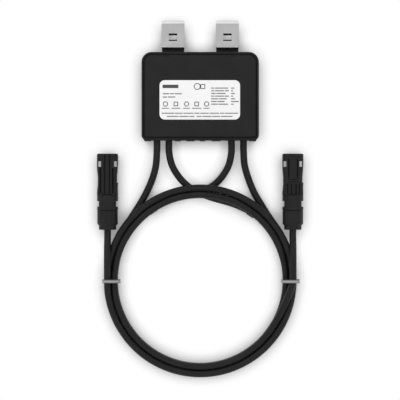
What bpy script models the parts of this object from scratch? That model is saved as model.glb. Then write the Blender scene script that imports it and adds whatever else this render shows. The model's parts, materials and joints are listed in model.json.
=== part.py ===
"""Solar power optimizer, lying on its back: housing, frame clips, four leads, a tied coil and two plug connectors.

Metres, +Z up. The origin is the centre of the housing's back face. +Y points to the clips, +Z out of the label.
"""

import math

import bmesh
import bpy
from mathutils import Matrix, Vector

MM = 0.001
GAP = 0.3 * MM  # clearance that touching pieces keep

# Housing
HOUSING_WIDTH = 117 * MM
HOUSING_HEIGHT = 88 * MM
TOP_CORNER_RADIUS = 10 * MM
BOTTOM_CORNER_RADIUS = 5 * MM
BACK_WALL = 2.4 * MM
RIM_WALL = 2 * MM
LEDGE_WIDTH = 1.6 * MM
LEDGE_Z = 19.8 * MM
RIM_ABOVE_LEDGE = 3.6 * MM
EDGE_CHAMFER = 1.2 * MM
CORNER_STEPS = 7

# Small ribs on the bottom edge: one near each side, and the middle ones as (centre, width) along X
END_RIB_FROM_SIDE = 6 * MM
END_RIB_WIDTH = 6.6 * MM
MIDDLE_RIBS = (
    (-22.5 * MM, 6 * MM),
    (-9.8 * MM, 8.1 * MM),
    (2.2 * MM, 5.3 * MM),
    (16 * MM, 9 * MM),
)
EDGE_RIB_PROUD = 0.7 * MM
EDGE_RIB_FOOT = 3 * MM

# Lid
SEAL_THICKNESS = 0.6 * MM
SEAL_WIDTH = 0.9 * MM
LID_FLANGE = 1.6 * MM
LID_STEP = 0.9 * MM
LID_BEVEL = 1.3 * MM
LID_RISE = 2.4 * MM
LID_PLATE = 2.2 * MM
LID_LIP_WIDTH = 2.2 * MM
PRY_SLOT_LENGTH = 4.4 * MM
PRY_SLOT_WIDTH = 0.9 * MM
PRY_SLOT_FROM_SIDE = 6.2 * MM
DIMPLE_LENGTH = 5.4 * MM
DIMPLE_WIDTH = 1.4 * MM
DIMPLE_DEPTH = 0.6 * MM
DIMPLE_OFFSET = 6 * MM

# Label
LABEL_WIDTH = 80.2 * MM
LABEL_HEIGHT = 39.2 * MM
LABEL_RADIUS = 5.2 * MM
LABEL_THICKNESS = 0.3 * MM
LABEL_CENTRE_X = -0.4 * MM
LABEL_CENTRE_Y = -3.9 * MM

# Frame clips and the ears that carry them
CLIP_SPACING = 54.4 * MM
CLIP_WIDTH = 23 * MM
CLIP_SHEET = 1.2 * MM
CLIP_MOUTH = 3.5 * MM
CLIP_FROM_HOUSING = 4.7 * MM
CLIP_DEPTH = 26.5 * MM
CLIP_LIP = 2.2 * MM
CLIP_LIP_RISE = 1.5 * MM
CLIP_CORNER = 1.2 * MM
CLIP_BEND = 0.6 * MM
BEND_STEPS = 4
BRIDGE_WIDTH = 8.4 * MM
BRIDGE_STRIP = 4.6 * MM
BRIDGE_SLIT_TOP = 1.8 * MM
BRIDGE_SLIT_BOTTOM = 1.1 * MM
BRIDGE_FROM_BOTTOM = 6.7 * MM
BRIDGE_DIP = 0.9 * MM
EAR_Z = 4 * MM
EAR_THICKNESS = 5 * MM
EAR_WIDTH = 22.8 * MM
EAR_FOOT_WIDTH = 21.8 * MM
EAR_FLARE = 5.8 * MM
EAR_REACH = 26 * MM
RIVET_RADIUS = 1.6 * MM
RIVET_HEAD_RADIUS = 2.4 * MM
RIVET_HEAD = 0.7 * MM
RIVET_FROM_BOTTOM = 5.8 * MM

# Leads
CABLE_RADIUS = 3.5 * MM
CABLE_SIDES_RESOLUTION = 3
LEAD_STEP = 4.4 * CABLE_RADIUS
LEAD_END_STEP = 4 * MM  # fine enough to stay straight where the cap nut travels
LEAD_FROM_SIDE = 15.2 * MM
LEAD_PITCH = 12 * MM
LEAD_EXIT_Z = 11.5 * MM
BUSHING_WALL = 1.2 * MM
BUSHING_FLANGE = 0.7 * MM
BUSHING_FLANGE_LENGTH = 1.6 * MM
LEAD_INSIDE = 7.6 * MM

# Coil and ties
COIL_CENTRE_Y = -184.25 * MM
COIL_INNER_RADIUS = 82.6 * MM
COIL_OUTER_RADIUS = 96.8 * MM
COIL_LIFT = 1.4 * MM
COIL_LAYERS = 2
COIL_STEPS = 60
COIL_CORNER_STEPS = 2
TOP_HUMP = 7.1 * MM
TOP_HUMP_FLAT = 12
RIGHT_HUMP = 7 * MM
LEFT_HUMP = 4.4 * MM
SIDE_HUMP_FLAT = 6
HUMP_END = 35
TIE_WIDTH = 3.2 * MM
TIE_THICKNESS = 1 * MM
TIE_Y_OFFSET = -0.65 * MM
TIE_HEAD_WIDTH = 3.9 * MM
TIE_HEAD_DEPTH = 2 * MM
TIE_HEAD_HEIGHT = 4.6 * MM

# Connectors: lengths run from the mouth towards the cable
CONNECTOR_X = 92.8 * MM
CONNECTOR_TIP_Y = -57.3 * MM
CONNECTOR_RADIUS = 10.5 * MM
SLEEVE_HEIGHT = 16 * MM
SLEEVE_LENGTH = 41.1 * MM
SLEEVE_CORNER = 4.6 * MM
LEFT_WAIST = ((15, 0), (23.3, 0.9), (30.3, 0.8), (38.4, 0.1), (41.1, 0))  # (from the mouth, how much narrower)
RIGHT_WAIST = ((15, 0.3), (23.3, 1), (28.6, 1), (29.2, -0.1), (33, 0.3), (38.4, 0.2), (41.1, 0))
MOUTH_RADIUS = 4.7 * MM
MOUTH_DEPTH = 14.5 * MM
BARREL_RADIUS = 6.3 * MM
WINDOW_FROM = 7.4 * MM
WINDOW_LENGTH = 5.7 * MM
WINDOW_WIDTH = 3.2 * MM
WINDOW_STRAP = 1.1 * MM
CHANNEL_HEIGHT = 4.8 * MM
GROOVE_DEPTH = 1.5 * MM
LEFT_GROOVES = (  # number, place across, width, start from the mouth, depth
    (1, -2.6, 1.6, 1.2, 1.4),
    (2, 2.3, 1.6, 1.2, 1.4),
    (3, 5.6, 1.9, 14.6, 2.6),
    (4, -6.9, 1.5, 14.6, 2.6),
)
SHOULDER_LENGTH = 14.9 * MM
NOTCH_FROM_SHOULDER = 6 * MM
NOTCH_LENGTH = 5.5 * MM
NOTCH_DEPTH = 2 * MM
TAIL_LENGTH = 9.7 * MM
TAIL_RADIUS = 7.5 * MM
SEAL_CHAMBER_RADIUS = 5.8 * MM
SEAL_CHAMBER_DEPTH = 11.7 * MM
CABLE_CLEARANCE = 0.4 * MM
CRIMP_RADIUS = 2.7 * MM
CRIMP_LENGTH = 13 * MM
CONTACT_RECESS = 7.6 * MM
PIN_RADIUS = 2 * MM
SOCKET_RADIUS = 2.9 * MM
SOCKET_BORE_RADIUS = 2.05 * MM
SOCKET_BORE_DEPTH = 9 * MM
NUT_LENGTH = 19.5 * MM
NUT_RADIUS = 10.4 * MM
NUT_FLUTES = 12
NUT_FLUTE_DEPTH = 0.7 * MM
NUT_END_RADIUS = 8.7 * MM
NUT_END_LENGTH = 4.1 * MM
NUT_CHAMFER_LENGTH = 2.1 * MM
NUT_CONE_START = 11 * MM
NUT_CONE_END = 18 * MM
NUT_TRAVEL_ROOM = 4.2 * MM
CONE_START_RADIUS = 7 * MM
CONE_END_RADIUS = 4.4 * MM
COLLET_LENGTH = 11 * MM
SEAL_LENGTH = 7 * MM
LATHE_STEPS = 24
INNER_LATHE_STEPS = 16

# Electronics
BOARD_SIDE_CLEARANCE = 4.9 * MM
BOARD_TOP_CLEARANCE = 6.4 * MM
BOARD_BEYOND_TERMINAL = 1 * MM
BOARD_THICKNESS = 1.6 * MM
BOARD_RADIUS = 3 * MM
POST_HEIGHT = 3.4 * MM
POST_RADIUS = 3.2 * MM
POST_INSET = 5 * MM
PART_FROM_EDGE = 3 * MM
PART_SPACE = 2 * MM
INDUCTOR_RADIUS = 7.8 * MM
INDUCTOR_TUBE = 3.6 * MM
CAPACITOR_RADIUS = 5 * MM
CAPACITOR_HEIGHT = 10.5 * MM
CAPACITOR_COUNT = 3
TRANSISTOR_COUNT = 4
TRANSISTOR_PITCH = 14 * MM
TRANSISTOR_SIZE = (10.2 * MM, 9.2 * MM, 4.4 * MM)
SPREADER_MARGIN = 3 * MM
SPREADER_THICKNESS = 2.2 * MM
CHIP_SIZE = (12 * MM, 12 * MM, 1.4 * MM)
TERMINAL_WIDTH = 8 * MM
TERMINAL_LENGTH = 6 * MM
TERMINAL_SCREW_RADIUS = 1.6 * MM

# Worked out from the sizes above
RIM_Z = LEDGE_Z + RIM_ABOVE_LEDGE
LID_Z = LEDGE_Z + SEAL_THICKNESS + 2 * GAP
LID_INSET = RIM_WALL + GAP
LID_TOP_Z = LID_Z + LID_FLANGE + LID_RISE
CAVITY_INSET = RIM_WALL + LEDGE_WIDTH
BOTTOM_Y = -HOUSING_HEIGHT / 2
TOP_Y = HOUSING_HEIGHT / 2
SIDE_X = HOUSING_WIDTH / 2
CLIP_BOTTOM_Y = TOP_Y + CLIP_FROM_HOUSING
LEAD_OUTER_X = SIDE_X - LEAD_FROM_SIDE
LEAD_INNER_X = LEAD_OUTER_X - LEAD_PITCH
LEAD_EXITS_X = (-LEAD_OUTER_X, -LEAD_INNER_X, LEAD_INNER_X, LEAD_OUTER_X)
EAR_TOP_Z = EAR_Z + EAR_THICKNESS
REAR_LEAF_Z = EAR_TOP_Z + GAP
FRONT_LEAF_Z = REAR_LEAF_Z + CLIP_SHEET + CLIP_MOUTH
BOARD_Z = BACK_WALL + POST_HEIGHT + GAP
BOARD_TOP_Z = BOARD_Z + BOARD_THICKNESS
PART_Z = BOARD_TOP_Z + GAP
TERMINAL_NEAR_Y = BOTTOM_Y + LEAD_INSIDE + 2 * GAP
TERMINAL_FAR_Y = TERMINAL_NEAR_Y + TERMINAL_LENGTH
BOARD_WIDTH = HOUSING_WIDTH - 2 * (CAVITY_INSET + BOARD_SIDE_CLEARANCE)
BOARD_TOP_Y = TOP_Y - CAVITY_INSET - BOARD_TOP_CLEARANCE
BOARD_BOTTOM_Y = TERMINAL_NEAR_Y - BOARD_BEYOND_TERMINAL
BOARD_HEIGHT = BOARD_TOP_Y - BOARD_BOTTOM_Y
BOARD_CENTRE_Y = (BOARD_TOP_Y + BOARD_BOTTOM_Y) / 2
PARTS_TOP_Y = BOARD_TOP_Y - PART_FROM_EDGE
INDUCTOR_REACH = INDUCTOR_RADIUS + INDUCTOR_TUBE
INDUCTOR_X = -BOARD_WIDTH / 2 + 2 * POST_INSET + PART_FROM_EDGE + INDUCTOR_REACH
INDUCTOR_Y = PARTS_TOP_Y - INDUCTOR_REACH
CAPACITOR_PITCH = 2 * CAPACITOR_RADIUS + PART_SPACE
CAPACITOR_X = INDUCTOR_X + INDUCTOR_REACH + PART_SPACE + CAPACITOR_RADIUS
CAPACITOR_Y = PARTS_TOP_Y - CAPACITOR_RADIUS
CHIP_X = CAPACITOR_X + CAPACITOR_PITCH
CHIP_Y = CAPACITOR_Y - CAPACITOR_RADIUS - PART_SPACE - CHIP_SIZE[1] / 2
TRANSISTOR_Y = TERMINAL_FAR_Y + PART_SPACE + SPREADER_MARGIN + TRANSISTOR_SIZE[1] / 2
COIL_TOP_Z = COIL_LIFT + 2 * CABLE_RADIUS * COIL_LAYERS
CONNECTOR_Z = CONNECTOR_RADIUS + 0.1 * MM
BODY_START = MOUTH_DEPTH + GAP
SHOULDER_START = SLEEVE_LENGTH + GAP
SHOULDER_END = SHOULDER_START + SHOULDER_LENGTH
TAIL_END = SHOULDER_END + TAIL_LENGTH
NUT_START = SHOULDER_END + GAP
NUT_END = NUT_START + NUT_LENGTH
CRIMP_END = SHOULDER_START + 2.5 * MM
CABLE_BORE_RADIUS = CABLE_RADIUS + CABLE_CLEARANCE


def clear_scene():
    for item in list(bpy.data.objects):
        bpy.data.objects.remove(item)


def finish_material(name, colour, roughness, metallic=0.0):
    material = bpy.data.materials.get(name)
    if material is None:
        material = bpy.data.materials.new(name)
        material.use_nodes = True
        shader = material.node_tree.nodes["Principled BSDF"]
        shader.inputs["Base Color"].default_value = (*colour, 1)
        shader.inputs["Roughness"].default_value = roughness
        shader.inputs["Metallic"].default_value = metallic
    return material


def black_plastic():
    return finish_material("black_plastic", (0.026, 0.026, 0.027), 0.5)


def lid_plastic():
    return finish_material("lid_plastic", (0.028, 0.028, 0.029), 0.55)


def label_film():
    return finish_material("label_film", (0.9, 0.9, 0.9), 0.4)


def spring_steel():
    return finish_material("spring_steel", (0.5, 0.5, 0.5), 0.35, 0.9)


def rivet_steel():
    return finish_material("rivet_steel", (0.4, 0.4, 0.41), 0.3, 1)


def seal_rubber():
    return finish_material("seal_rubber", (0.02, 0.02, 0.02), 0.75)


def cable_jacket():
    return finish_material("cable_jacket", (0.024, 0.024, 0.025), 0.6)


def tie_nylon():
    return finish_material("tie_nylon", (0.38, 0.38, 0.38), 0.45)


def connector_plastic():
    return finish_material("connector_plastic", (0.025, 0.025, 0.026), 0.45)


def contact_metal():
    return finish_material("contact_metal", (0.75, 0.73, 0.7), 0.25, 1)


def board_green():
    return finish_material("board_green", (0.02, 0.14, 0.06), 0.4)


def copper():
    return finish_material("copper", (0.72, 0.4, 0.25), 0.35, 1)


def core_ferrite():
    return finish_material("core_ferrite", (0.07, 0.07, 0.075), 0.6)


def can_aluminium():
    return finish_material("can_aluminium", (0.75, 0.76, 0.78), 0.3, 1)


def chip_epoxy():
    return finish_material("chip_epoxy", (0.015, 0.015, 0.016), 0.45)


def object_from(bm, name, material, smooth_degrees=35):
    """Makes an object of a bmesh, with faces out and round stretches smooth."""
    bmesh.ops.recalc_face_normals(bm, faces=bm.faces)
    mesh = bpy.data.meshes.new(name)
    bm.to_mesh(mesh)
    bm.free()
    mesh.shade_smooth()
    mesh.set_sharp_from_angle(angle=math.radians(smooth_degrees))
    made = bpy.data.objects.new(name, mesh)
    bpy.context.scene.collection.objects.link(made)
    if material:
        mesh.materials.append(material)
    return made


def combine(target, tool, operation):
    """Adds a live Boolean with a tool object that doesn't render."""
    tool.hide_render = True
    tool.display_type = "WIRE"
    modifier = target.modifiers.new(tool.name, "BOOLEAN")
    modifier.object = tool
    modifier.operation = operation
    modifier.solver = "EXACT"


def rounded_outline(width, height, bottom_radius, top_radius, centre=(0, 0), steps=CORNER_STEPS):
    """Points round a rectangle with arcs at its corners, anticlockwise from the bottom right."""
    points = []
    for turn, x_side, y_side, radius in (
        (-90, 1, -1, bottom_radius),
        (0, 1, 1, top_radius),
        (90, -1, 1, top_radius),
        (180, -1, -1, bottom_radius),
    ):
        arc_x = centre[0] + x_side * (width / 2 - radius)
        arc_y = centre[1] + y_side * (height / 2 - radius)
        for step in range(steps + 1):
            angle = math.radians(turn + 90 * step / steps)
            points.append((arc_x + radius * math.cos(angle), arc_y + radius * math.sin(angle)))
    return points


def loft(rings, closed=False):
    """A skin over rings that each have the same number of points, capped at both ends or closed on itself."""
    bm = bmesh.new()
    made = [[bm.verts.new(point) for point in ring] for ring in rings]
    pairs = list(zip(made, made[1:]))
    if closed:
        pairs.append((made[-1], made[0]))
    for low, high in pairs:
        for i in range(len(low)):
            j = (i + 1) % len(low)
            bm.faces.new((low[i], low[j], high[j], high[i]))
    if not closed:
        bm.faces.new(made[0])
        bm.faces.new(made[-1])
    return bm


def stacked(outline_at):
    """Rings in XYZ from (outline, z) pairs."""
    return [[(x, y, z) for x, y in outline] for outline, z in outline_at]


def box(name, low, high, material=None):
    """A block between two corners."""
    bm = bmesh.new()
    size = Vector(high) - Vector(low)
    middle = (Vector(high) + Vector(low)) / 2
    bmesh.ops.create_cube(bm, size=1, matrix=Matrix.Translation(middle) @ Matrix.Diagonal((*size, 1)))
    return object_from(bm, name, material)


def turned(name, profile, material, place=(0, 0, 0), axis="Z", steps=LATHE_STEPS, radius_at=None):
    """A body of revolution from a closed profile of (radius, height) points off the axis, or one that meets it."""
    rings = []
    for radius, height in profile:
        ring = []
        for step in range(steps):
            angle = 2 * math.pi * step / steps
            reach = radius if radius_at is None else radius_at(radius, height, step)
            ring.append((reach * math.cos(angle), reach * math.sin(angle), height))
        rings.append(ring)
    on_axis = profile[0][0] == 0
    if on_axis:
        bm = loft(rings[1:-1])
    else:
        bm = loft(rings, closed=True)
    made = object_from(bm, name, material)
    if axis == "Y":
        made.rotation_euler = (math.radians(90), 0, 0)
    made.location = place
    return made


def housing_ring(inset, z):
    outline = rounded_outline(
        HOUSING_WIDTH - 2 * inset,
        HOUSING_HEIGHT - 2 * inset,
        max(BOTTOM_CORNER_RADIUS - inset, 0.8 * MM),
        max(TOP_CORNER_RADIUS - inset, 0.8 * MM),
    )
    return outline, z


def clip_centres():
    return ((-CLIP_SPACING / 2, "left"), (CLIP_SPACING / 2, "right"))


def ear_outline(centre_x):
    """The plan of one ear, from inside the top wall to its rounded end."""
    foot_y = TOP_Y - RIM_WALL / 2
    end_y = TOP_Y + EAR_REACH
    corner = 3 * MM
    half_foot = EAR_FOOT_WIDTH / 2
    half = EAR_WIDTH / 2
    points = [(centre_x + half_foot, foot_y), (centre_x + half, TOP_Y + EAR_FLARE)]
    for step in range(5):
        angle = math.radians(90 * step / 4)
        points.append((centre_x + half - corner + corner * math.cos(angle), end_y - corner + corner * math.sin(angle)))
    for step in range(5):
        angle = math.radians(90 + 90 * step / 4)
        points.append((centre_x - half + corner + corner * math.cos(angle), end_y - corner + corner * math.sin(angle)))
    points += [(centre_x - half, TOP_Y + EAR_FLARE), (centre_x - half_foot, foot_y)]
    return points


def make_rear_housing():
    """The tub: one skin from the back face over the rim and down to the cavity floor, then ears, ribs and holes."""
    rings = stacked(
        (
            housing_ring(EDGE_CHAMFER, 0),
            housing_ring(0, EDGE_CHAMFER),
            housing_ring(0, RIM_Z - EDGE_CHAMFER),
            housing_ring(0.35 * EDGE_CHAMFER, RIM_Z - 0.35 * EDGE_CHAMFER),
            housing_ring(EDGE_CHAMFER, RIM_Z),
            housing_ring(RIM_WALL, RIM_Z),
            housing_ring(RIM_WALL, LEDGE_Z),
            housing_ring(CAVITY_INSET, LEDGE_Z),
            housing_ring(CAVITY_INSET, BACK_WALL),
        )
    )
    housing = object_from(loft(rings), "rear_housing", black_plastic())
    for centre_x, side in clip_centres():
        plan = ear_outline(centre_x)
        ear = object_from(loft(stacked(((plan, EAR_Z), (plan, EAR_TOP_Z)))), f"ear_{side}", None)
        combine(housing, ear, "UNION")
        hole = turned(
            f"ear_hole_{side}",
            ((0, 0), (RIVET_RADIUS + GAP, 0), (RIVET_RADIUS + GAP, 3 * EAR_THICKNESS), (0, 3 * EAR_THICKNESS)),
            None,
            (centre_x, CLIP_BOTTOM_Y + RIVET_FROM_BOTTOM, EAR_Z - EAR_THICKNESS),
            steps=16,
        )
        combine(housing, hole, "DIFFERENCE")
    end_rib_x = SIDE_X - END_RIB_FROM_SIDE
    ribs = ((-end_rib_x, END_RIB_WIDTH), *MIDDLE_RIBS, (end_rib_x, END_RIB_WIDTH))
    for number, (centre, width) in enumerate(ribs, 1):
        rib = box(
            f"edge_rib_{number}",
            (centre - width / 2, BOTTOM_Y - EDGE_RIB_PROUD, EDGE_RIB_FOOT),
            (centre + width / 2, BOTTOM_Y + RIM_WALL / 2, RIM_Z - EDGE_CHAMFER),
        )
        combine(housing, rib, "UNION")
    for number, (x, y) in enumerate(post_places(), 1):
        profile = (
            (0, 0),
            (POST_RADIUS, 0),
            (0.85 * POST_RADIUS, POST_HEIGHT + BACK_WALL / 2),
            (0, POST_HEIGHT + BACK_WALL / 2),
        )
        post = turned(f"post_{number}", profile, None, (x, y, BACK_WALL / 2), steps=16)
        combine(housing, post, "UNION")
    for number, x in enumerate(LEAD_EXITS_X, 1):
        reach = 4 * CAVITY_INSET
        radius = CABLE_BORE_RADIUS + BUSHING_WALL + GAP
        hole = turned(
            f"lead_hole_{number}",
            ((0, 0), (radius, 0), (radius, reach), (0, reach)),
            None,
            (x, BOTTOM_Y + 1.5 * CAVITY_INSET, LEAD_EXIT_Z),
            "Y",
            steps=20,
        )
        combine(housing, hole, "DIFFERENCE")


def post_places():
    half_x = BOARD_WIDTH / 2 - POST_INSET
    half_y = BOARD_HEIGHT / 2 - POST_INSET
    return [(x, BOARD_CENTRE_Y + y) for x in (-half_x, half_x) for y in (-half_y, half_y)]


def make_cover_seal():
    """The bead that fills the ledge under the lid."""
    inner = LID_INSET + SEAL_WIDTH
    low = LEDGE_Z + GAP
    rings = stacked(
        (
            housing_ring(LID_INSET, low),
            housing_ring(LID_INSET, low + SEAL_THICKNESS),
            housing_ring(inner, low + SEAL_THICKNESS),
            housing_ring(inner, low),
        )
    )
    object_from(loft(rings, closed=True), "cover_seal", seal_rubber())


def make_front_cover():
    """The lid: a flange in the rim, a step, a bevelled raised face, and a shallow pocket for the label."""
    flange_z = LID_Z + LID_FLANGE
    raised = LID_INSET + LID_STEP
    lip = LID_INSET + LID_LIP_WIDTH
    rings = stacked(
        (
            housing_ring(lip, LID_TOP_Z - LID_PLATE),
            housing_ring(lip, LID_Z),
            housing_ring(LID_INSET, LID_Z),
            housing_ring(LID_INSET, flange_z),
            housing_ring(raised, flange_z),
            housing_ring(raised, LID_TOP_Z - LID_BEVEL),
            housing_ring(raised + 0.3 * LID_BEVEL, LID_TOP_Z - 0.3 * LID_BEVEL),
            housing_ring(raised + LID_BEVEL, LID_TOP_Z),
        )
    )
    cover = object_from(loft(rings), "front_cover", lid_plastic())
    pocket_plan = rounded_outline(
        LABEL_WIDTH + 2 * GAP,
        LABEL_HEIGHT + 2 * GAP,
        LABEL_RADIUS + GAP,
        LABEL_RADIUS + GAP,
        (LABEL_CENTRE_X, LABEL_CENTRE_Y),
    )
    pocket_floor = LID_TOP_Z - LABEL_THICKNESS - GAP
    pocket = object_from(
        loft(stacked(((pocket_plan, pocket_floor), (pocket_plan, LID_TOP_Z + LID_RISE)))), "label_pocket", None
    )
    combine(cover, pocket, "DIFFERENCE")
    slot_y = BOTTOM_Y + LID_INSET + LID_STEP
    for side in (-1, 1):
        slot_x = side * (SIDE_X - PRY_SLOT_FROM_SIDE)
        slot = box(
            f"pry_slot_{side}",
            (slot_x - PRY_SLOT_LENGTH / 2, slot_y - PRY_SLOT_WIDTH, flange_z + GAP),
            (slot_x + PRY_SLOT_LENGTH / 2, slot_y + PRY_SLOT_WIDTH, LID_TOP_Z + LID_RISE),
        )
        combine(cover, slot, "DIFFERENCE")
        dimple_x = side * (CLIP_SPACING / 2 + DIMPLE_OFFSET)
        plan = rounded_outline(
            DIMPLE_LENGTH,
            DIMPLE_WIDTH,
            0.45 * DIMPLE_WIDTH,
            0.45 * DIMPLE_WIDTH,
            (dimple_x, TOP_Y - LID_INSET - LID_STEP - LID_BEVEL),
            4,
        )
        dimple = object_from(
            loft(stacked(((plan, LID_TOP_Z - DIMPLE_DEPTH), (plan, LID_TOP_Z + LID_RISE)))), f"dimple_{side}", None
        )
        combine(cover, dimple, "DIFFERENCE")


def make_label():
    plan = rounded_outline(LABEL_WIDTH, LABEL_HEIGHT, LABEL_RADIUS, LABEL_RADIUS, (LABEL_CENTRE_X, LABEL_CENTRE_Y))
    low = LID_TOP_Z - LABEL_THICKNESS
    object_from(loft(stacked(((plan, low), (plan, low + LABEL_THICKNESS)))), "label_plate", label_film())


def clip_profile():
    """The U of the clip in (y, z), round the outside from the rear leaf's end and back along the inside."""
    bend_outer = CLIP_SHEET + CLIP_BEND
    bend_y = CLIP_BOTTOM_Y + bend_outer
    end_y = CLIP_BOTTOM_Y + CLIP_DEPTH
    lip_y = end_y - CLIP_LIP
    outside = [(lip_y, REAR_LEAF_Z)]
    inside = [(lip_y, REAR_LEAF_Z + CLIP_SHEET)]
    front_top = FRONT_LEAF_Z + CLIP_SHEET
    for start, bend_z in ((-90, REAR_LEAF_Z + bend_outer), (-180, front_top - bend_outer)):
        for step in range(BEND_STEPS + 1):
            angle = math.radians(start - 90 * step / BEND_STEPS)
            outside.append((bend_y + bend_outer * math.cos(angle), bend_z + bend_outer * math.sin(angle)))
            inside.append((bend_y + CLIP_BEND * math.cos(angle), bend_z + CLIP_BEND * math.sin(angle)))
    outside += [(lip_y, front_top), (end_y, front_top + CLIP_LIP_RISE)]
    inside += [(lip_y + 0.4 * CLIP_SHEET, FRONT_LEAF_Z), (end_y + 0.4 * CLIP_SHEET, FRONT_LEAF_Z + CLIP_LIP_RISE)]
    return outside + inside[::-1]


def make_clip(centre_x, side):
    """One spring-steel clip: the U drawn across its width, a lanced bridge in the front leaf, and the rivet hole."""
    half = CLIP_WIDTH / 2
    profile = clip_profile()
    rings = [[(centre_x + x, y, z) for y, z in profile] for x in (-half, half)]
    clip = object_from(loft(rings), f"frame_clip_{side}", spring_steel())
    strip_low = CLIP_BOTTOM_Y + BRIDGE_FROM_BOTTOM + BRIDGE_SLIT_BOTTOM
    strip_high = strip_low + BRIDGE_STRIP
    window = box(
        f"bridge_window_{side}",
        (centre_x - BRIDGE_WIDTH / 2, strip_low - BRIDGE_SLIT_BOTTOM, FRONT_LEAF_Z - CLIP_SHEET),
        (centre_x + BRIDGE_WIDTH / 2, strip_high + BRIDGE_SLIT_TOP, FRONT_LEAF_Z + 2 * CLIP_SHEET),
    )
    combine(clip, window, "DIFFERENCE")
    slope = 1.4 * MM
    anchored = BRIDGE_WIDTH / 2 + 0.8 * MM
    low = FRONT_LEAF_Z + 0.1 * CLIP_SHEET
    high = FRONT_LEAF_Z + 0.9 * CLIP_SHEET
    stations = (
        (-anchored, 0),
        (-BRIDGE_WIDTH / 2, 0),
        (-BRIDGE_WIDTH / 2 + slope, BRIDGE_DIP),
        (BRIDGE_WIDTH / 2 - slope, BRIDGE_DIP),
        (BRIDGE_WIDTH / 2, 0),
        (anchored, 0),
    )
    bridge_rings = [
        [
            (centre_x + x, strip_low, low - dip),
            (centre_x + x, strip_high, low - dip),
            (centre_x + x, strip_high, high - dip),
            (centre_x + x, strip_low, high - dip),
        ]
        for x, dip in stations
    ]
    bridge = object_from(loft(bridge_rings), f"bridge_{side}", None)
    combine(clip, bridge, "UNION")
    hole = turned(
        f"clip_hole_{side}",
        ((0, 0), (RIVET_RADIUS + GAP, 0), (RIVET_RADIUS + GAP, 2 * CLIP_SHEET), (0, 2 * CLIP_SHEET)),
        None,
        (centre_x, CLIP_BOTTOM_Y + RIVET_FROM_BOTTOM, REAR_LEAF_Z - CLIP_SHEET / 2),
        steps=16,
    )
    combine(clip, hole, "DIFFERENCE")
    end_y = CLIP_BOTTOM_Y + CLIP_DEPTH
    for corner_side in (-1, 1):
        corner = corner_cutter(centre_x + corner_side * half, end_y + CLIP_SHEET, f"clip_corner_{side}_{corner_side}")
        combine(clip, corner, "DIFFERENCE")


def corner_cutter(x, y, name):
    """A square rod turned by 45 degrees that takes off one corner of the clip."""
    side = 2 * CLIP_CORNER
    height = 30 * MM
    bm = bmesh.new()
    spin = Matrix.Rotation(math.radians(45), 4, "Z")
    place = Matrix.Translation((x, y, FRONT_LEAF_Z))
    bmesh.ops.create_cube(bm, size=1, matrix=place @ spin @ Matrix.Diagonal((side, side, height, 1)))
    return object_from(bm, name, None)


def make_rivet(centre_x, side):
    """A low head on the rear leaf, a shank through leaf and ear, and the set head on the ear's back."""
    head_low = REAR_LEAF_Z + CLIP_SHEET + GAP
    tail_high = EAR_Z - GAP
    profile = (
        (0, tail_high - RIVET_HEAD),
        (0.8 * RIVET_HEAD_RADIUS, tail_high - RIVET_HEAD),
        (RIVET_HEAD_RADIUS, tail_high - 0.4 * RIVET_HEAD),
        (RIVET_HEAD_RADIUS, tail_high),
        (RIVET_RADIUS, tail_high),
        (RIVET_RADIUS, head_low),
        (RIVET_HEAD_RADIUS, head_low),
        (RIVET_HEAD_RADIUS, head_low + 0.4 * RIVET_HEAD),
        (0.8 * RIVET_HEAD_RADIUS, head_low + RIVET_HEAD),
        (0, head_low + RIVET_HEAD),
    )
    place = (centre_x, CLIP_BOTTOM_Y + RIVET_FROM_BOTTOM, 0)
    turned(f"clip_rivet_{side}", profile, rivet_steel(), place, steps=16)


def make_bushing(number, x):
    """The rubber bushing of one lead: flush with the bottom wall, with a flange inside the cavity."""
    outer = CABLE_BORE_RADIUS + BUSHING_WALL
    wall = CAVITY_INSET + GAP
    profile = (
        (CABLE_BORE_RADIUS, 0),
        (outer - 0.3 * MM, 0),
        (outer, -0.3 * MM),
        (outer, -wall),
        (outer + BUSHING_FLANGE, -wall),
        (outer + BUSHING_FLANGE, -wall - BUSHING_FLANGE_LENGTH),
        (CABLE_BORE_RADIUS, -wall - BUSHING_FLANGE_LENGTH),
    )
    turned(f"lead_bushing_{number}", profile, seal_rubber(), (x, BOTTOM_Y, LEAD_EXIT_Z), "Y", steps=INNER_LATHE_STEPS)


def smooth_points(route, spacing):
    """Points about that far apart on a smooth curve through the route's own points."""
    knots = [Vector(point) for point in route]
    knots = [2 * knots[0] - knots[1], *knots, 2 * knots[-1] - knots[-2]]
    fine = [knots[1]]
    steps = 12
    for a, b, c, d in zip(knots, knots[1:], knots[2:], knots[3:]):
        for step in range(1, steps + 1):
            t = step / steps
            fine.append(
                0.5
                * (
                    2 * b
                    + (c - a) * t
                    + (2 * a - 5 * b + 4 * c - d) * t * t
                    + (3 * b - a - 3 * c + d) * t * t * t
                )
            )
    total = sum((q - p).length for p, q in zip(fine, fine[1:]))
    count = max(2, round(total / spacing))
    kept = [fine[0]]
    walked = 0.0
    for p, q in zip(fine, fine[1:]):
        walked += (q - p).length
        if walked >= total * len(kept) / count - 1e-9 and len(kept) < count:
            kept.append(q)
    kept.append(fine[-1])
    return kept


def make_lead(name, route):
    """One free stretch of cable: a round tube along its smoothed route, with its ends closed."""
    points = smooth_points(route, LEAD_END_STEP if name.endswith("_end") else LEAD_STEP)
    curve = bpy.data.curves.new(name, "CURVE")
    curve.dimensions = "3D"
    spline = curve.splines.new("POLY")
    spline.points.add(len(points) - 1)
    for slot, point in zip(spline.points, points):
        slot.co = (*point, 1)
    curve.bevel_depth = CABLE_RADIUS
    curve.bevel_resolution = CABLE_SIDES_RESOLUTION
    curve.use_fill_caps = True
    curve.materials.append(cable_jacket())
    made = bpy.data.objects.new(name, curve)
    bpy.context.scene.collection.objects.link(made)
    return made


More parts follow.
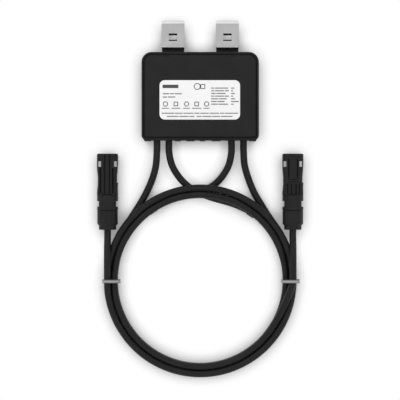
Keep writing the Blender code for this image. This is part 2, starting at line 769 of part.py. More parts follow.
def lead_routes():
    """Each free stretch of the leads, by hand, from the terminal to the coil or from the coil to a connector."""
    inside_y = BOTTOM_Y + LEAD_INSIDE + GAP
    exit_1, exit_2, exit_3, exit_4 = LEAD_EXITS_X
    z = LEAD_EXIT_Z
    cable_end_y = CONNECTOR_TIP_Y - CRIMP_END - GAP
    nut_end_y = CONNECTOR_TIP_Y - NUT_END
    return {
        "output_lead_right_start": (
            (exit_1, inside_y, z),
            (exit_1, BOTTOM_Y, z),
            (-43.4 * MM, -56 * MM, 11 * MM),
            (-44.6 * MM, -70 * MM, 8.6 * MM),
            (-47.9 * MM, -82 * MM, 6.5 * MM),
            (-53.6 * MM, -95.4 * MM, 5.1 * MM),
            (-56.5 * MM, -101.5 * MM, 4.9 * MM),
        ),
        "input_lead_left": (
            (exit_2, inside_y, z),
            (exit_2, BOTTOM_Y, z),
            (-31.2 * MM, -56.4 * MM, 11.6 * MM),
            (-28.5 * MM, -69.1 * MM, 11.8 * MM),
            (-21.8 * MM, -79.3 * MM, 11.9 * MM),
            (-15.2 * MM, -86.3 * MM, 11.5 * MM),
        ),
        "input_lead_right": (
            (exit_3, inside_y, z),
            (exit_3, BOTTOM_Y, z),
            (31.1 * MM, -56.4 * MM, 10.4 * MM),
            (27.9 * MM, -69.1 * MM, 7.6 * MM),
            (21.9 * MM, -79.3 * MM, 5.6 * MM),
            (15.1 * MM, -86.4 * MM, 5 * MM),
        ),
        "output_lead_left_start": (
            (exit_4, inside_y, z),
            (exit_4, BOTTOM_Y, z),
            (43.5 * MM, -56 * MM, 11 * MM),
            (44.5 * MM, -68.6 * MM, 8.8 * MM),
            (48.5 * MM, -82.6 * MM, 6.5 * MM),
            (54.4 * MM, -96.7 * MM, 5 * MM),
            (57 * MM, -101.9 * MM, 4.9 * MM),
        ),
        "output_lead_left_end": (
            (-CONNECTOR_X, COIL_CENTRE_Y + 39 * MM, 12.1 * MM),
            (-CONNECTOR_X, COIL_CENTRE_Y + 42.4 * MM, 11.2 * MM),
            (-CONNECTOR_X, nut_end_y - NUT_TRAVEL_ROOM, CONNECTOR_Z),
            (-CONNECTOR_X, nut_end_y, CONNECTOR_Z),
            (-CONNECTOR_X, nut_end_y + 8 * MM, CONNECTOR_Z),
            (-CONNECTOR_X, cable_end_y, CONNECTOR_Z),
        ),
        "output_lead_right_end": (
            (CONNECTOR_X, COIL_CENTRE_Y + 39 * MM, 12.1 * MM),
            (CONNECTOR_X, COIL_CENTRE_Y + 42.4 * MM, 11.2 * MM),
            (CONNECTOR_X, nut_end_y - NUT_TRAVEL_ROOM, CONNECTOR_Z),
            (CONNECTOR_X, nut_end_y, CONNECTOR_Z),
            (CONNECTOR_X, nut_end_y + 8 * MM, CONNECTOR_Z),
            (CONNECTOR_X, cable_end_y, CONNECTOR_Z),
        ),
    }


def hump(degrees, middle, flat, rise):
    """How far the bundle is raised at an angle, where strands cross over each other."""
    away = abs((degrees - middle + 180) % 360 - 180)
    share = min(max((away - flat) / (HUMP_END - flat), 0), 1)
    return rise * (1 - share * share * (3 - 2 * share))


def coil_rise(degrees):
    return max(
        hump(degrees, 90, TOP_HUMP_FLAT, TOP_HUMP),
        hump(degrees, 0, SIDE_HUMP_FLAT, RIGHT_HUMP),
        hump(degrees, 180, SIDE_HUMP_FLAT, LEFT_HUMP),
    )


def make_coil():
    """The tied bundle of turns as one ring, a rounded section that is higher where strands cross."""
    width = COIL_OUTER_RADIUS - COIL_INNER_RADIUS
    middle_radius = (COIL_OUTER_RADIUS + COIL_INNER_RADIUS) / 2
    rings = []
    for step in range(COIL_STEPS):
        degrees = 360 * step / COIL_STEPS
        height = COIL_TOP_Z + coil_rise(degrees) - COIL_LIFT
        section = rounded_outline(
            width,
            height,
            CABLE_RADIUS,
            CABLE_RADIUS,
            (middle_radius, COIL_LIFT + height / 2),
            COIL_CORNER_STEPS,
        )
        turn = math.radians(degrees)
        rings.append([(r * math.cos(turn), COIL_CENTRE_Y + r * math.sin(turn), z) for r, z in section])
    object_from(loft(rings, closed=True), "lead_coil", cable_jacket(), 50)


def make_tie(side, facing):
    """One tie: a closed band round the bundle, with its head at the bundle's right side."""
    rise = coil_rise(0 if facing > 0 else 180)
    low = COIL_LIFT - GAP
    high = COIL_TOP_Z + rise + GAP
    inner_width = COIL_OUTER_RADIUS - COIL_INNER_RADIUS + 2 * GAP
    middle = facing * (COIL_OUTER_RADIUS + COIL_INNER_RADIUS) / 2
    centre = (middle, (low + high) / 2)
    radius = CABLE_RADIUS + GAP
    inner = rounded_outline(inner_width, high - low, radius, radius, centre, 4)
    outer = rounded_outline(
        inner_width + 2 * TIE_THICKNESS,
        high - low + 2 * TIE_THICKNESS,
        radius + TIE_THICKNESS,
        radius + TIE_THICKNESS,
        centre,
        4,
    )
    y = COIL_CENTRE_Y + TIE_Y_OFFSET
    near, far = y - TIE_WIDTH / 2, y + TIE_WIDTH / 2
    rings = [
        [(x, near, z) for x, z in outer],
        [(x, far, z) for x, z in outer],
        [(x, far, z) for x, z in inner],
        [(x, near, z) for x, z in inner],
    ]
    tie = object_from(loft(rings, closed=True), f"cable_tie_{side}", tie_nylon())
    band_x = middle + inner_width / 2 + 0.4 * TIE_THICKNESS
    head_z = (low + high) / 2
    head = box(
        f"tie_head_{side}",
        (band_x, y - TIE_HEAD_WIDTH / 2, head_z - TIE_HEAD_HEIGHT / 2),
        (band_x + TIE_HEAD_DEPTH, y + TIE_HEAD_WIDTH / 2, head_z + TIE_HEAD_HEIGHT / 2),
    )
    combine(tie, head, "UNION")


def along(length):
    """Row Y of a place on a connector, from its mouth towards the cable."""
    return CONNECTOR_TIP_Y - length


def waist_at(length, waist):
    """How much narrower one side of the sleeve is at a place along it."""
    stations = [(0, 0), (10 * MM, 0), *((at * MM, inset * MM) for at, inset in waist)]
    for (start, first), (end, second) in zip(stations, stations[1:]):
        if start <= length <= end:
            return first + (second - first) * (length - start) / (end - start)
    return 0.0


def sleeve_outline(left, right):
    """The sleeve's section, narrower by these lengths at its two sides."""
    return rounded_outline(
        2 * CONNECTOR_RADIUS - left - right,
        SLEEVE_HEIGHT,
        SLEEVE_CORNER,
        SLEEVE_CORNER,
        ((left - right) / 2, CONNECTOR_Z),
        4,
    )


def groove(name, target, x, x_width, start, end, top, depth=GROOVE_DEPTH):
    """A lengthwise groove in the sleeve's top (1) or underside (-1)."""
    face = CONNECTOR_Z + top * SLEEVE_HEIGHT / 2
    tool = box(
        name,
        (x - x_width / 2, along(end), min(face - top * depth, face + top * depth)),
        (x + x_width / 2, along(start), max(face - top * depth, face + top * depth)),
    )
    combine(target, tool, "DIFFERENCE")


def make_sleeve(centre_x, side):
    """The front sleeve: a waisted shell with a mouth, latch channels and see-through windows at both sides."""
    lengths = sorted({at * MM for at, _ in (*LEFT_WAIST, *RIGHT_WAIST)})
    sections = [(0, 0.7 * MM, 0.7 * MM), (0.8 * MM, 0, 0), (10 * MM, 0, 0)]
    sections += [(length, waist_at(length, LEFT_WAIST), waist_at(length, RIGHT_WAIST)) for length in lengths]
    rings = []
    for length, left, right in sections:
        rings.append([(centre_x + x, along(length), z) for x, z in sleeve_outline(left, right)])
    sleeve = object_from(loft(rings), f"{side}_front_sleeve", connector_plastic())
    rear_radius = BARREL_RADIUS + GAP
    bore = turned(
        f"{side}_sleeve_bore",
        (
            (0, -5 * MM),
            (MOUTH_RADIUS, -5 * MM),
            (MOUTH_RADIUS, MOUTH_DEPTH),
            (rear_radius, MOUTH_DEPTH),
            (rear_radius, SLEEVE_LENGTH + 5 * MM),
            (0, SLEEVE_LENGTH + 5 * MM),
        ),
        None,
        (centre_x, CONNECTOR_TIP_Y, CONNECTOR_Z),
        "Y",
        steps=LATHE_STEPS,
    )
    combine(sleeve, bore, "DIFFERENCE")
    outer_x = CONNECTOR_RADIUS - WINDOW_STRAP
    inner_x = outer_x - WINDOW_WIDTH
    for hand in (-1, 1):
        edges = sorted((centre_x + hand * inner_x, centre_x + hand * outer_x))
        window = box(
            f"{side}_window_{hand}",
            (edges[0], along(WINDOW_FROM + WINDOW_LENGTH), CONNECTOR_Z - SLEEVE_HEIGHT),
            (edges[1], along(WINDOW_FROM), CONNECTOR_Z + SLEEVE_HEIGHT),
        )
        combine(sleeve, window, "DIFFERENCE")
        channel = box(
            f"{side}_channel_{hand}",
            (edges[0] + 0.2 * MM, along(WINDOW_FROM + 0.5 * WINDOW_LENGTH), CONNECTOR_Z - CHANNEL_HEIGHT / 2),
            (edges[1] - 0.2 * MM, along(-5 * MM), CONNECTOR_Z + CHANNEL_HEIGHT / 2),
        )
        combine(sleeve, channel, "DIFFERENCE")
    return sleeve


def dress_left_sleeve(sleeve, centre_x):
    """Lengthwise ribs between grooves, on the top and the underside."""
    for top in (-1, 1):
        for number, x, width, start, depth in LEFT_GROOVES:
            groove(
                f"left_groove_{number}_{top}",
                sleeve,
                centre_x + x * MM,
                width * MM,
                start * MM,
                39.7 * MM,
                top,
                depth * MM,
            )


def dress_right_sleeve(sleeve, centre_x):
    """A smooth raised panel behind the mouth, cross grooves, and short grip ribs."""
    for top in (-1, 1):
        for number, x in enumerate((-4.4 * MM, 4.4 * MM), 1):
            groove(f"right_edge_{number}_{top}", sleeve, centre_x + x, 1.3 * MM, 5.5 * MM, 24.6 * MM, top)
        for number, start in enumerate((25.3 * MM, 27.6 * MM), 3):
            groove(f"right_cross_{number}_{top}", sleeve, centre_x, 9.8 * MM, start, start + 0.9 * MM, top, 0.7 * MM)
        for number, x in enumerate((-5.4 * MM, -1.7 * MM, 2.9 * MM, 6.3 * MM), 5):
            groove(f"right_grip_{number}_{top}", sleeve, centre_x + x, 1.5 * MM, 29.9 * MM, 40.2 * MM, top)


def make_insulator(centre_x, side, contact_radius):
    """The body: a barrel inside the sleeve, a shoulder with wrench notches, and the tail that carries the nut."""
    crimp_bore = CRIMP_RADIUS + GAP
    contact_bore = contact_radius + GAP
    crimp_start = CRIMP_END - CRIMP_LENGTH - GAP
    seal_start = TAIL_END - SEAL_CHAMBER_DEPTH
    profile = (
        (contact_bore, BODY_START),
        (BARREL_RADIUS - 0.5 * MM, BODY_START),
        (BARREL_RADIUS, BODY_START + 0.5 * MM),
        (BARREL_RADIUS, SHOULDER_START),
        (CONNECTOR_RADIUS - 0.5 * MM, SHOULDER_START),
        (CONNECTOR_RADIUS, SHOULDER_START + 0.5 * MM),
        (CONNECTOR_RADIUS, SHOULDER_END),
        (TAIL_RADIUS, SHOULDER_END),
        (TAIL_RADIUS, TAIL_END - 0.6 * MM),
        (TAIL_RADIUS - 0.6 * MM, TAIL_END),
        (SEAL_CHAMBER_RADIUS, TAIL_END),
        (SEAL_CHAMBER_RADIUS, seal_start),
        (CABLE_BORE_RADIUS, seal_start),
        (CABLE_BORE_RADIUS, CRIMP_END + GAP),
        (crimp_bore, CRIMP_END + GAP),
        (crimp_bore, crimp_start),
        (contact_bore, crimp_start),
    )
    place = (centre_x, CONNECTOR_TIP_Y, CONNECTOR_Z)
    body = turned(f"{side}_connector_body", profile, connector_plastic(), place, "Y")
    for hand in (-1, 1):
        start = SHOULDER_START + NOTCH_FROM_SHOULDER
        inner = centre_x + hand * (CONNECTOR_RADIUS - NOTCH_DEPTH)
        outer = centre_x + hand * 2 * CONNECTOR_RADIUS
        notch = box(
            f"{side}_notch_{hand}",
            (min(inner, outer), along(start + NOTCH_LENGTH), CONNECTOR_Z - CONNECTOR_RADIUS),
            (max(inner, outer), along(start), CONNECTOR_Z + CONNECTOR_RADIUS),
        )
        combine(body, notch, "DIFFERENCE")


def make_pin_contact(centre_x, side):
    """The plug pin, with a retaining collar and a crimp barrel that the wire's end enters."""
    collar = PIN_RADIUS + 0.2 * MM
    crimp_start = CRIMP_END - CRIMP_LENGTH
    profile = (
        (0, CONTACT_RECESS),
        (0.5 * PIN_RADIUS, CONTACT_RECESS),
        (PIN_RADIUS, CONTACT_RECESS + PIN_RADIUS),
        (PIN_RADIUS, crimp_start - 3 * MM),
        (collar, crimp_start - 3 * MM),
        (collar, crimp_start),
        (CRIMP_RADIUS, crimp_start),
        (CRIMP_RADIUS, CRIMP_END),
        (0, CRIMP_END),
    )
    turned(f"{side}_pin_contact", profile, contact_metal(), (centre_x, CONNECTOR_TIP_Y, CONNECTOR_Z), "Y", steps=20)


def make_socket_contact(centre_x, side):
    """The socket contact: a sleeve with a blind bore for the pin, and a crimp barrel."""
    crimp_start = CRIMP_END - CRIMP_LENGTH
    bore_end = CONTACT_RECESS + SOCKET_BORE_DEPTH
    profile = (
        (0, bore_end),
        (SOCKET_BORE_RADIUS, bore_end),
        (SOCKET_BORE_RADIUS, CONTACT_RECESS),
        (SOCKET_RADIUS - 0.3 * MM, CONTACT_RECESS),
        (SOCKET_RADIUS, CONTACT_RECESS + 0.3 * MM),
        (SOCKET_RADIUS, crimp_start),
        (CRIMP_RADIUS, crimp_start),
        (CRIMP_RADIUS, CRIMP_END),
        (0, CRIMP_END),
    )
    turned(f"{side}_socket_contact", profile, contact_metal(), (centre_x, CONNECTOR_TIP_Y, CONNECTOR_Z), "Y", steps=20)


def make_cable_seal(centre_x, side):
    """The rubber seal round the cable at the bottom of the tail's bore."""
    start = TAIL_END - SEAL_CHAMBER_DEPTH + GAP
    outer = SEAL_CHAMBER_RADIUS - GAP
    bead = 0.5 * MM
    profile = [(CABLE_BORE_RADIUS, start), (outer - bead, start)]
    for ring in range(3):
        foot = start + ring * SEAL_LENGTH / 3
        profile += [(outer, foot + SEAL_LENGTH / 6), (outer - bead, foot + SEAL_LENGTH / 3)]
    profile.append((CABLE_BORE_RADIUS, start + SEAL_LENGTH))
    place = (centre_x, CONNECTOR_TIP_Y, CONNECTOR_Z)
    turned(f"{side}_cable_seal", profile, seal_rubber(), place, "Y", steps=INNER_LATHE_STEPS)


def cone_radius_at(length):
    """The nut's inner cone, by distance from the nut's front face."""
    share = (length - NUT_CONE_START) / (NUT_CONE_END - NUT_CONE_START)
    return CONE_START_RADIUS + (CONE_END_RADIUS - CONE_START_RADIUS) * share


def make_collet(centre_x, side):
    """The clamping collet: a spigot in the tail's bore and a cone that the nut presses on the cable."""
    start = TAIL_END - SEAL_CHAMBER_DEPTH + SEAL_LENGTH + 2 * GAP
    spigot = SEAL_CHAMBER_RADIUS - GAP
    flange_start = NUT_START + NUT_CONE_START + GAP
    cone_end = start + COLLET_LENGTH
    flange_radius = cone_radius_at(flange_start - NUT_START + 1 * MM) - GAP
    end_radius = cone_radius_at(cone_end - NUT_START) - 1.5 * GAP
    profile = (
        (CABLE_BORE_RADIUS, start),
        (spigot, start),
        (spigot, TAIL_END + GAP),
        (flange_radius, flange_start),
        (flange_radius, flange_start + 1 * MM),
        (end_radius, cone_end),
        (CABLE_BORE_RADIUS, cone_end),
    )
    place = (centre_x, CONNECTOR_TIP_Y, CONNECTOR_Z)
    turned(f"{side}_collet", profile, connector_plastic(), place, "Y", steps=INNER_LATHE_STEPS)


def make_cap_nut(centre_x, side):
    """The cap nut: fluted outside, threaded bore for the tail, and a cone that closes on the collet."""
    bore = TAIL_RADIUS + GAP
    chamfer_start = NUT_LENGTH - NUT_END_LENGTH - NUT_CHAMFER_LENGTH
    profile = (
        (bore, 0),
        (NUT_RADIUS - 0.6 * MM, 0),
        (NUT_RADIUS, 0.6 * MM),
        (NUT_RADIUS, 2 * MM),
        (NUT_RADIUS, chamfer_start - 1 * MM),
        (NUT_RADIUS, chamfer_start),
        (NUT_END_RADIUS, chamfer_start + NUT_CHAMFER_LENGTH),
        (NUT_END_RADIUS, NUT_LENGTH - 0.5 * MM),
        (NUT_END_RADIUS - 0.5 * MM, NUT_LENGTH),
        (CABLE_BORE_RADIUS, NUT_LENGTH),
        (CABLE_BORE_RADIUS, NUT_CONE_END),
        (CONE_END_RADIUS, NUT_CONE_END),
        (CONE_START_RADIUS, NUT_CONE_START),
        (bore, NUT_CONE_START - 0.6 * MM),
    )
    points_per_flute = 3

    def fluted(radius, length, step):
        """The radius at one of the ring's points: a shallow flute at each third point, away from the nut's ends."""
        in_flute = step % points_per_flute == 0
        if in_flute and radius == NUT_RADIUS and 1.5 * MM < length < chamfer_start - 0.5 * MM:
            return radius - NUT_FLUTE_DEPTH
        return radius

    turned(
        f"{side}_cap_nut",
        profile,
        connector_plastic(),
        (centre_x, along(NUT_START), CONNECTOR_Z),
        "Y",
        NUT_FLUTES * points_per_flute,
        fluted,
    )


def make_connectors():
    left_x, right_x = -CONNECTOR_X, CONNECTOR_X
    dress_left_sleeve(make_sleeve(left_x, "left"), left_x)
    dress_right_sleeve(make_sleeve(right_x, "right"), right_x)
    make_insulator(left_x, "left", PIN_RADIUS + 0.2 * MM)
    make_insulator(right_x, "right", SOCKET_RADIUS)
    make_pin_contact(left_x, "left")
    make_socket_contact(right_x, "right")
    for centre_x, side in ((left_x, "left"), (right_x, "right")):
        make_cable_seal(centre_x, side)
        make_collet(centre_x, side)
        make_cap_nut(centre_x, side)


def make_board():
    plan = rounded_outline(BOARD_WIDTH, BOARD_HEIGHT, BOARD_RADIUS, BOARD_RADIUS, (0, BOARD_CENTRE_Y), 3)
    object_from(loft(stacked(((plan, BOARD_Z), (plan, BOARD_TOP_Z)))), "circuit_board", board_green())


def make_inductor():
    """A wound ring core lying flat on the board."""
    rings = []
    section_steps = 8
    for step in range(LATHE_STEPS):
        turn = 2 * math.pi * step / LATHE_STEPS
        ring = []
        for part in range(section_steps):
            angle = 2 * math.pi * (part + 0.5) / section_steps
            reach = INDUCTOR_RADIUS + INDUCTOR_TUBE * math.cos(angle)
            height = PART_Z + INDUCTOR_TUBE + INDUCTOR_TUBE * math.sin(angle)
            ring.append((INDUCTOR_X + reach * math.cos(turn), INDUCTOR_Y + reach * math.sin(turn), height))
        rings.append(ring)
    object_from(loft(rings, closed=True), "power_inductor", core_ferrite(), 60)


def make_capacitors():
    for number in range(CAPACITOR_COUNT):
        x = CAPACITOR_X + number * CAPACITOR_PITCH
        neck = 0.9 * CAPACITOR_RADIUS
        profile = (
            (0, 0),
            (CAPACITOR_RADIUS, 0),
            (CAPACITOR_RADIUS, 0.12 * CAPACITOR_HEIGHT),
            (neck, 0.17 * CAPACITOR_HEIGHT),
            (CAPACITOR_RADIUS, 0.22 * CAPACITOR_HEIGHT),
            (CAPACITOR_RADIUS, 0.95 * CAPACITOR_HEIGHT),
            (neck, CAPACITOR_HEIGHT),
            (0, CAPACITOR_HEIGHT),
        )
        turned(f"capacitor_{number + 1}", profile, can_aluminium(), (x, CAPACITOR_Y, PART_Z), steps=20)


def transistor_xs():
    first = -TRANSISTOR_PITCH * (TRANSISTOR_COUNT - 1) / 2
    return [first + number * TRANSISTOR_PITCH for number in range(TRANSISTOR_COUNT)]


def make_transistors():
    width, length, height = TRANSISTOR_SIZE
    for number, x in enumerate(transistor_xs(), 1):
        half = width / 2
        taper = 0.4 * MM
        low = rounded_outline(2 * half, length, 0.5 * MM, 0.5 * MM, (x, TRANSISTOR_Y), 1)
        high = rounded_outline(2 * (half - taper), length - 2 * taper, 0.5 * MM, 0.5 * MM, (x, TRANSISTOR_Y), 1)
        rings = stacked(((low, PART_Z), (low, PART_Z + height / 2), (high, PART_Z + height)))
        object_from(loft(rings), f"transistor_{number}", chip_epoxy())


def make_heat_spreader():
    """The aluminium plate that lies on all the transistors."""
    low = PART_Z + TRANSISTOR_SIZE[2] + GAP
    half_x = transistor_xs()[-1] + TRANSISTOR_SIZE[0] / 2 + SPREADER_MARGIN
    plan = rounded_outline(
        2 * half_x, TRANSISTOR_SIZE[1] + 2 * SPREADER_MARGIN, 2 * MM, 2 * MM, (0, TRANSISTOR_Y), 3
    )
    object_from(loft(stacked(((plan, low), (plan, low + SPREADER_THICKNESS)))), "heat_spreader", can_aluminium())


def make_controller_chip():
    width, length, height = CHIP_SIZE
    low = rounded_outline(width, length, 0.6 * MM, 0.6 * MM, (CHIP_X, CHIP_Y), 1)
    high = rounded_outline(width - 0.6 * MM, length - 0.6 * MM, 0.6 * MM, 0.6 * MM, (CHIP_X, CHIP_Y), 1)
    rings = stacked(((low, PART_Z), (low, PART_Z + height / 2), (high, PART_Z + height)))
    object_from(loft(rings), "controller_chip", chip_epoxy())


def make_terminals():
    """The copper block on the board's edge that takes each lead's end."""
    screw = TERMINAL_SCREW_RADIUS
    for number, x in enumerate(LEAD_EXITS_X, 1):
        plan_low = (x - TERMINAL_WIDTH / 2, TERMINAL_NEAR_Y, PART_Z)
        plan_high = (x + TERMINAL_WIDTH / 2, TERMINAL_FAR_Y, LEAD_EXIT_Z + CABLE_RADIUS)
        terminal = box(f"lead_terminal_{number}", plan_low, plan_high, copper())
        bore = turned(
            f"terminal_bore_{number}",
            ((0, 0), (screw, 0), (screw, TERMINAL_LENGTH), (0, TERMINAL_LENGTH)),
            None,
            (x, (TERMINAL_NEAR_Y + TERMINAL_FAR_Y) / 2, LEAD_EXIT_Z),
            steps=12,
        )
        combine(terminal, bore, "DIFFERENCE")


def main():
    clear_scene()
    make_rear_housing()
    make_cover_seal()
    make_front_cover()
    make_label()
    for centre_x, side in clip_centres():
        make_clip(centre_x, side)
        make_rivet(centre_x, side)
    for number, x in enumerate(LEAD_EXITS_X, 1):
        make_bushing(number, x)
    for name, route in lead_routes().items():
        make_lead(name, route)
    make_coil()
    make_tie("left", -1)
    make_tie("right", 1)
    make_connectors()
    make_board()
    make_inductor()
    make_capacitors()
    make_transistors()
    make_heat_spreader()
    make_controller_chip()
    make_terminals()


main()
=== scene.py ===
"""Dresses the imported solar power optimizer, lays its four leads and lights it as in the photograph."""

import json
import logging
import math
from dataclasses import dataclass
from enum import Enum

import bpy
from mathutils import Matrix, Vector

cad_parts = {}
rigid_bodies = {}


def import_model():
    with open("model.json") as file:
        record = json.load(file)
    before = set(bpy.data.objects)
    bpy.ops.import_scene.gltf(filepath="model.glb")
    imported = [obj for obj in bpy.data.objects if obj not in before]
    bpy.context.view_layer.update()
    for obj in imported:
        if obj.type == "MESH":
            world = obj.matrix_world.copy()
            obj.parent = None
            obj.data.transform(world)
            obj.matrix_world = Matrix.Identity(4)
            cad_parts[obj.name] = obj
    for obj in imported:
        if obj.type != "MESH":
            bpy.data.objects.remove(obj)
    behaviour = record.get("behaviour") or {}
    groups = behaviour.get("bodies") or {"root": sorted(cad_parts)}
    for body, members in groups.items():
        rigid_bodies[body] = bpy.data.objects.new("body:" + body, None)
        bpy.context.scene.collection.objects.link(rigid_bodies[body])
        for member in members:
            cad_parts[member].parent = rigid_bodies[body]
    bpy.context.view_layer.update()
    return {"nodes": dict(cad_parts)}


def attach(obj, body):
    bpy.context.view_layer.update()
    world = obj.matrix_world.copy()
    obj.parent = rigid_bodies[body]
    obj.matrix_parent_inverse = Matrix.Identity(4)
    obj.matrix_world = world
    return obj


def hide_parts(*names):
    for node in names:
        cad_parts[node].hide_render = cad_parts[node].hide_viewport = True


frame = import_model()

MM = 0.001
MERGE_WITHIN = 0.004 * MM
SEAM_WITHIN = 0.02 * MM
FLAT_WITHIN = math.radians(1.5)
SMOOTH_BELOW = math.radians(35)
log = logging.getLogger("solar_power_optimizer")


# Working helpers


def select_only(*pieces: bpy.types.Object) -> None:
    """Selects these objects alone and makes the first of them active."""
    for shown in bpy.context.view_layer.objects:
        shown.select_set(False)
    for piece in pieces:
        piece.select_set(True)
    bpy.context.view_layer.objects.active = pieces[0]


def settle(piece: bpy.types.Object, body: str = "root") -> bpy.types.Object:
    """Puts a finished piece's place into its mesh and lets it ride on a body.

    Args:
        piece: The finished mesh object.
        body: The CAD body that it moves with.

    Returns:
        The same object, at the origin, unturned and unscaled.
    """
    select_only(piece)
    bpy.ops.object.transform_apply(location=True, rotation=True, scale=True)
    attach(piece, body)
    return piece


def wear_material(piece: bpy.types.Object, material: bpy.types.Material) -> None:
    """Makes this the piece's only material."""
    piece.data.materials.clear()
    piece.data.materials.append(material)


def round_edges(piece: bpy.types.Object, width: float, segments: int = 2, degrees: float = 40) -> None:
    """Bevels a piece's sharp edges and smooths its faces by angle.

    Args:
        piece: The mesh object.
        width: Width of the bevel in metres.
        segments: Steps across the bevel.
        degrees: Edges sharper than this are bevelled.
    """
    select_only(piece)
    bevel = piece.modifiers.new("edge_rounding", "BEVEL")
    bevel.width = width
    bevel.segments = segments
    bevel.limit_method = "ANGLE"
    bevel.angle_limit = math.radians(degrees)
    bevel.miter_outer = "MITER_ARC"
    bevel.use_clamp_overlap = False
    bpy.ops.object.modifier_apply(modifier=bevel.name)
    bpy.ops.object.shade_smooth_by_angle(angle=math.radians(degrees - 5))


def close_seam(piece: bpy.types.Object, place: float, by: float) -> None:
    """Moves the flat end that lies at a place along Y, so that the seam beside it narrows to a hairline.

    Args:
        piece: The mesh object, in object mode.
        place: Where the end lies along Y, in metres.
        by: How far it moves along Y, in metres.
    """
    bpy.ops.object.mode_set(mode="EDIT")
    bpy.ops.mesh.select_all(action="DESELECT")
    bpy.ops.object.mode_set(mode="OBJECT")
    for vertex in piece.data.vertices:
        vertex.select = abs(vertex.co.y - place) < SEAM_WITHIN
    bpy.ops.object.mode_set(mode="EDIT")
    bpy.ops.transform.translate(value=(0, by, 0))
    bpy.ops.object.mode_set(mode="OBJECT")


def dressed_copy(
    node: str,
    material: bpy.types.Material,
    body: str = "root",
    rounding: float = 0.25 * MM,
    seams: tuple[tuple[float, float], ...] = (),
    whole_flats: bool = True,
) -> bpy.types.Object:
    """Copies a CAD node, merges it, rounds its edges and lets the copy stand for the node.

    Args:
        node: Name of the CAD node.
        material: Its finish.
        body: The CAD body that it rides on.
        rounding: Width of the edge rounding in metres, or 0 for none.
        seams: Flat ends to move along Y, each as its place and the distance in metres.
        whole_flats: Whether each flat becomes one face, or stays in four-sided faces for its grooves' sake.

    Returns:
        The dressed copy.
    """
    piece = bpy.data.objects.new(f"{node}_dressed", frame["nodes"][node].data.copy())
    bpy.context.scene.collection.objects.link(piece)
    select_only(piece)
    bpy.ops.object.mode_set(mode="EDIT")
    bpy.ops.mesh.select_all(action="SELECT")
    bpy.ops.mesh.customdata_custom_splitnormals_clear()
    bpy.ops.mesh.remove_doubles(threshold=MERGE_WITHIN)
    if whole_flats:
        bpy.ops.mesh.dissolve_limited(angle_limit=FLAT_WITHIN)
    else:
        bpy.ops.mesh.tris_convert_to_quads(face_threshold=math.radians(1), shape_threshold=math.radians(179))
    bpy.ops.object.mode_set(mode="OBJECT")
    for place, by in seams:
        close_seam(piece, place, by)
    wear_material(piece, material)
    if rounding:
        round_edges(piece, rounding)
    else:
        bpy.ops.object.shade_smooth_by_angle(angle=SMOOTH_BELOW)
    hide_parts(node)
    return settle(piece, body)


def new_mesh(name: str, material: bpy.types.Material) -> bpy.types.Object:
    """Adds an empty mesh object at the origin, active and in edit mode, for primitives to be added to."""
    piece = bpy.data.objects.new(name, bpy.data.meshes.new(name))
    bpy.context.scene.collection.objects.link(piece)
    piece.data.materials.append(material)
    select_only(piece)
    bpy.ops.object.mode_set(mode="EDIT")
    return piece


# Finishes


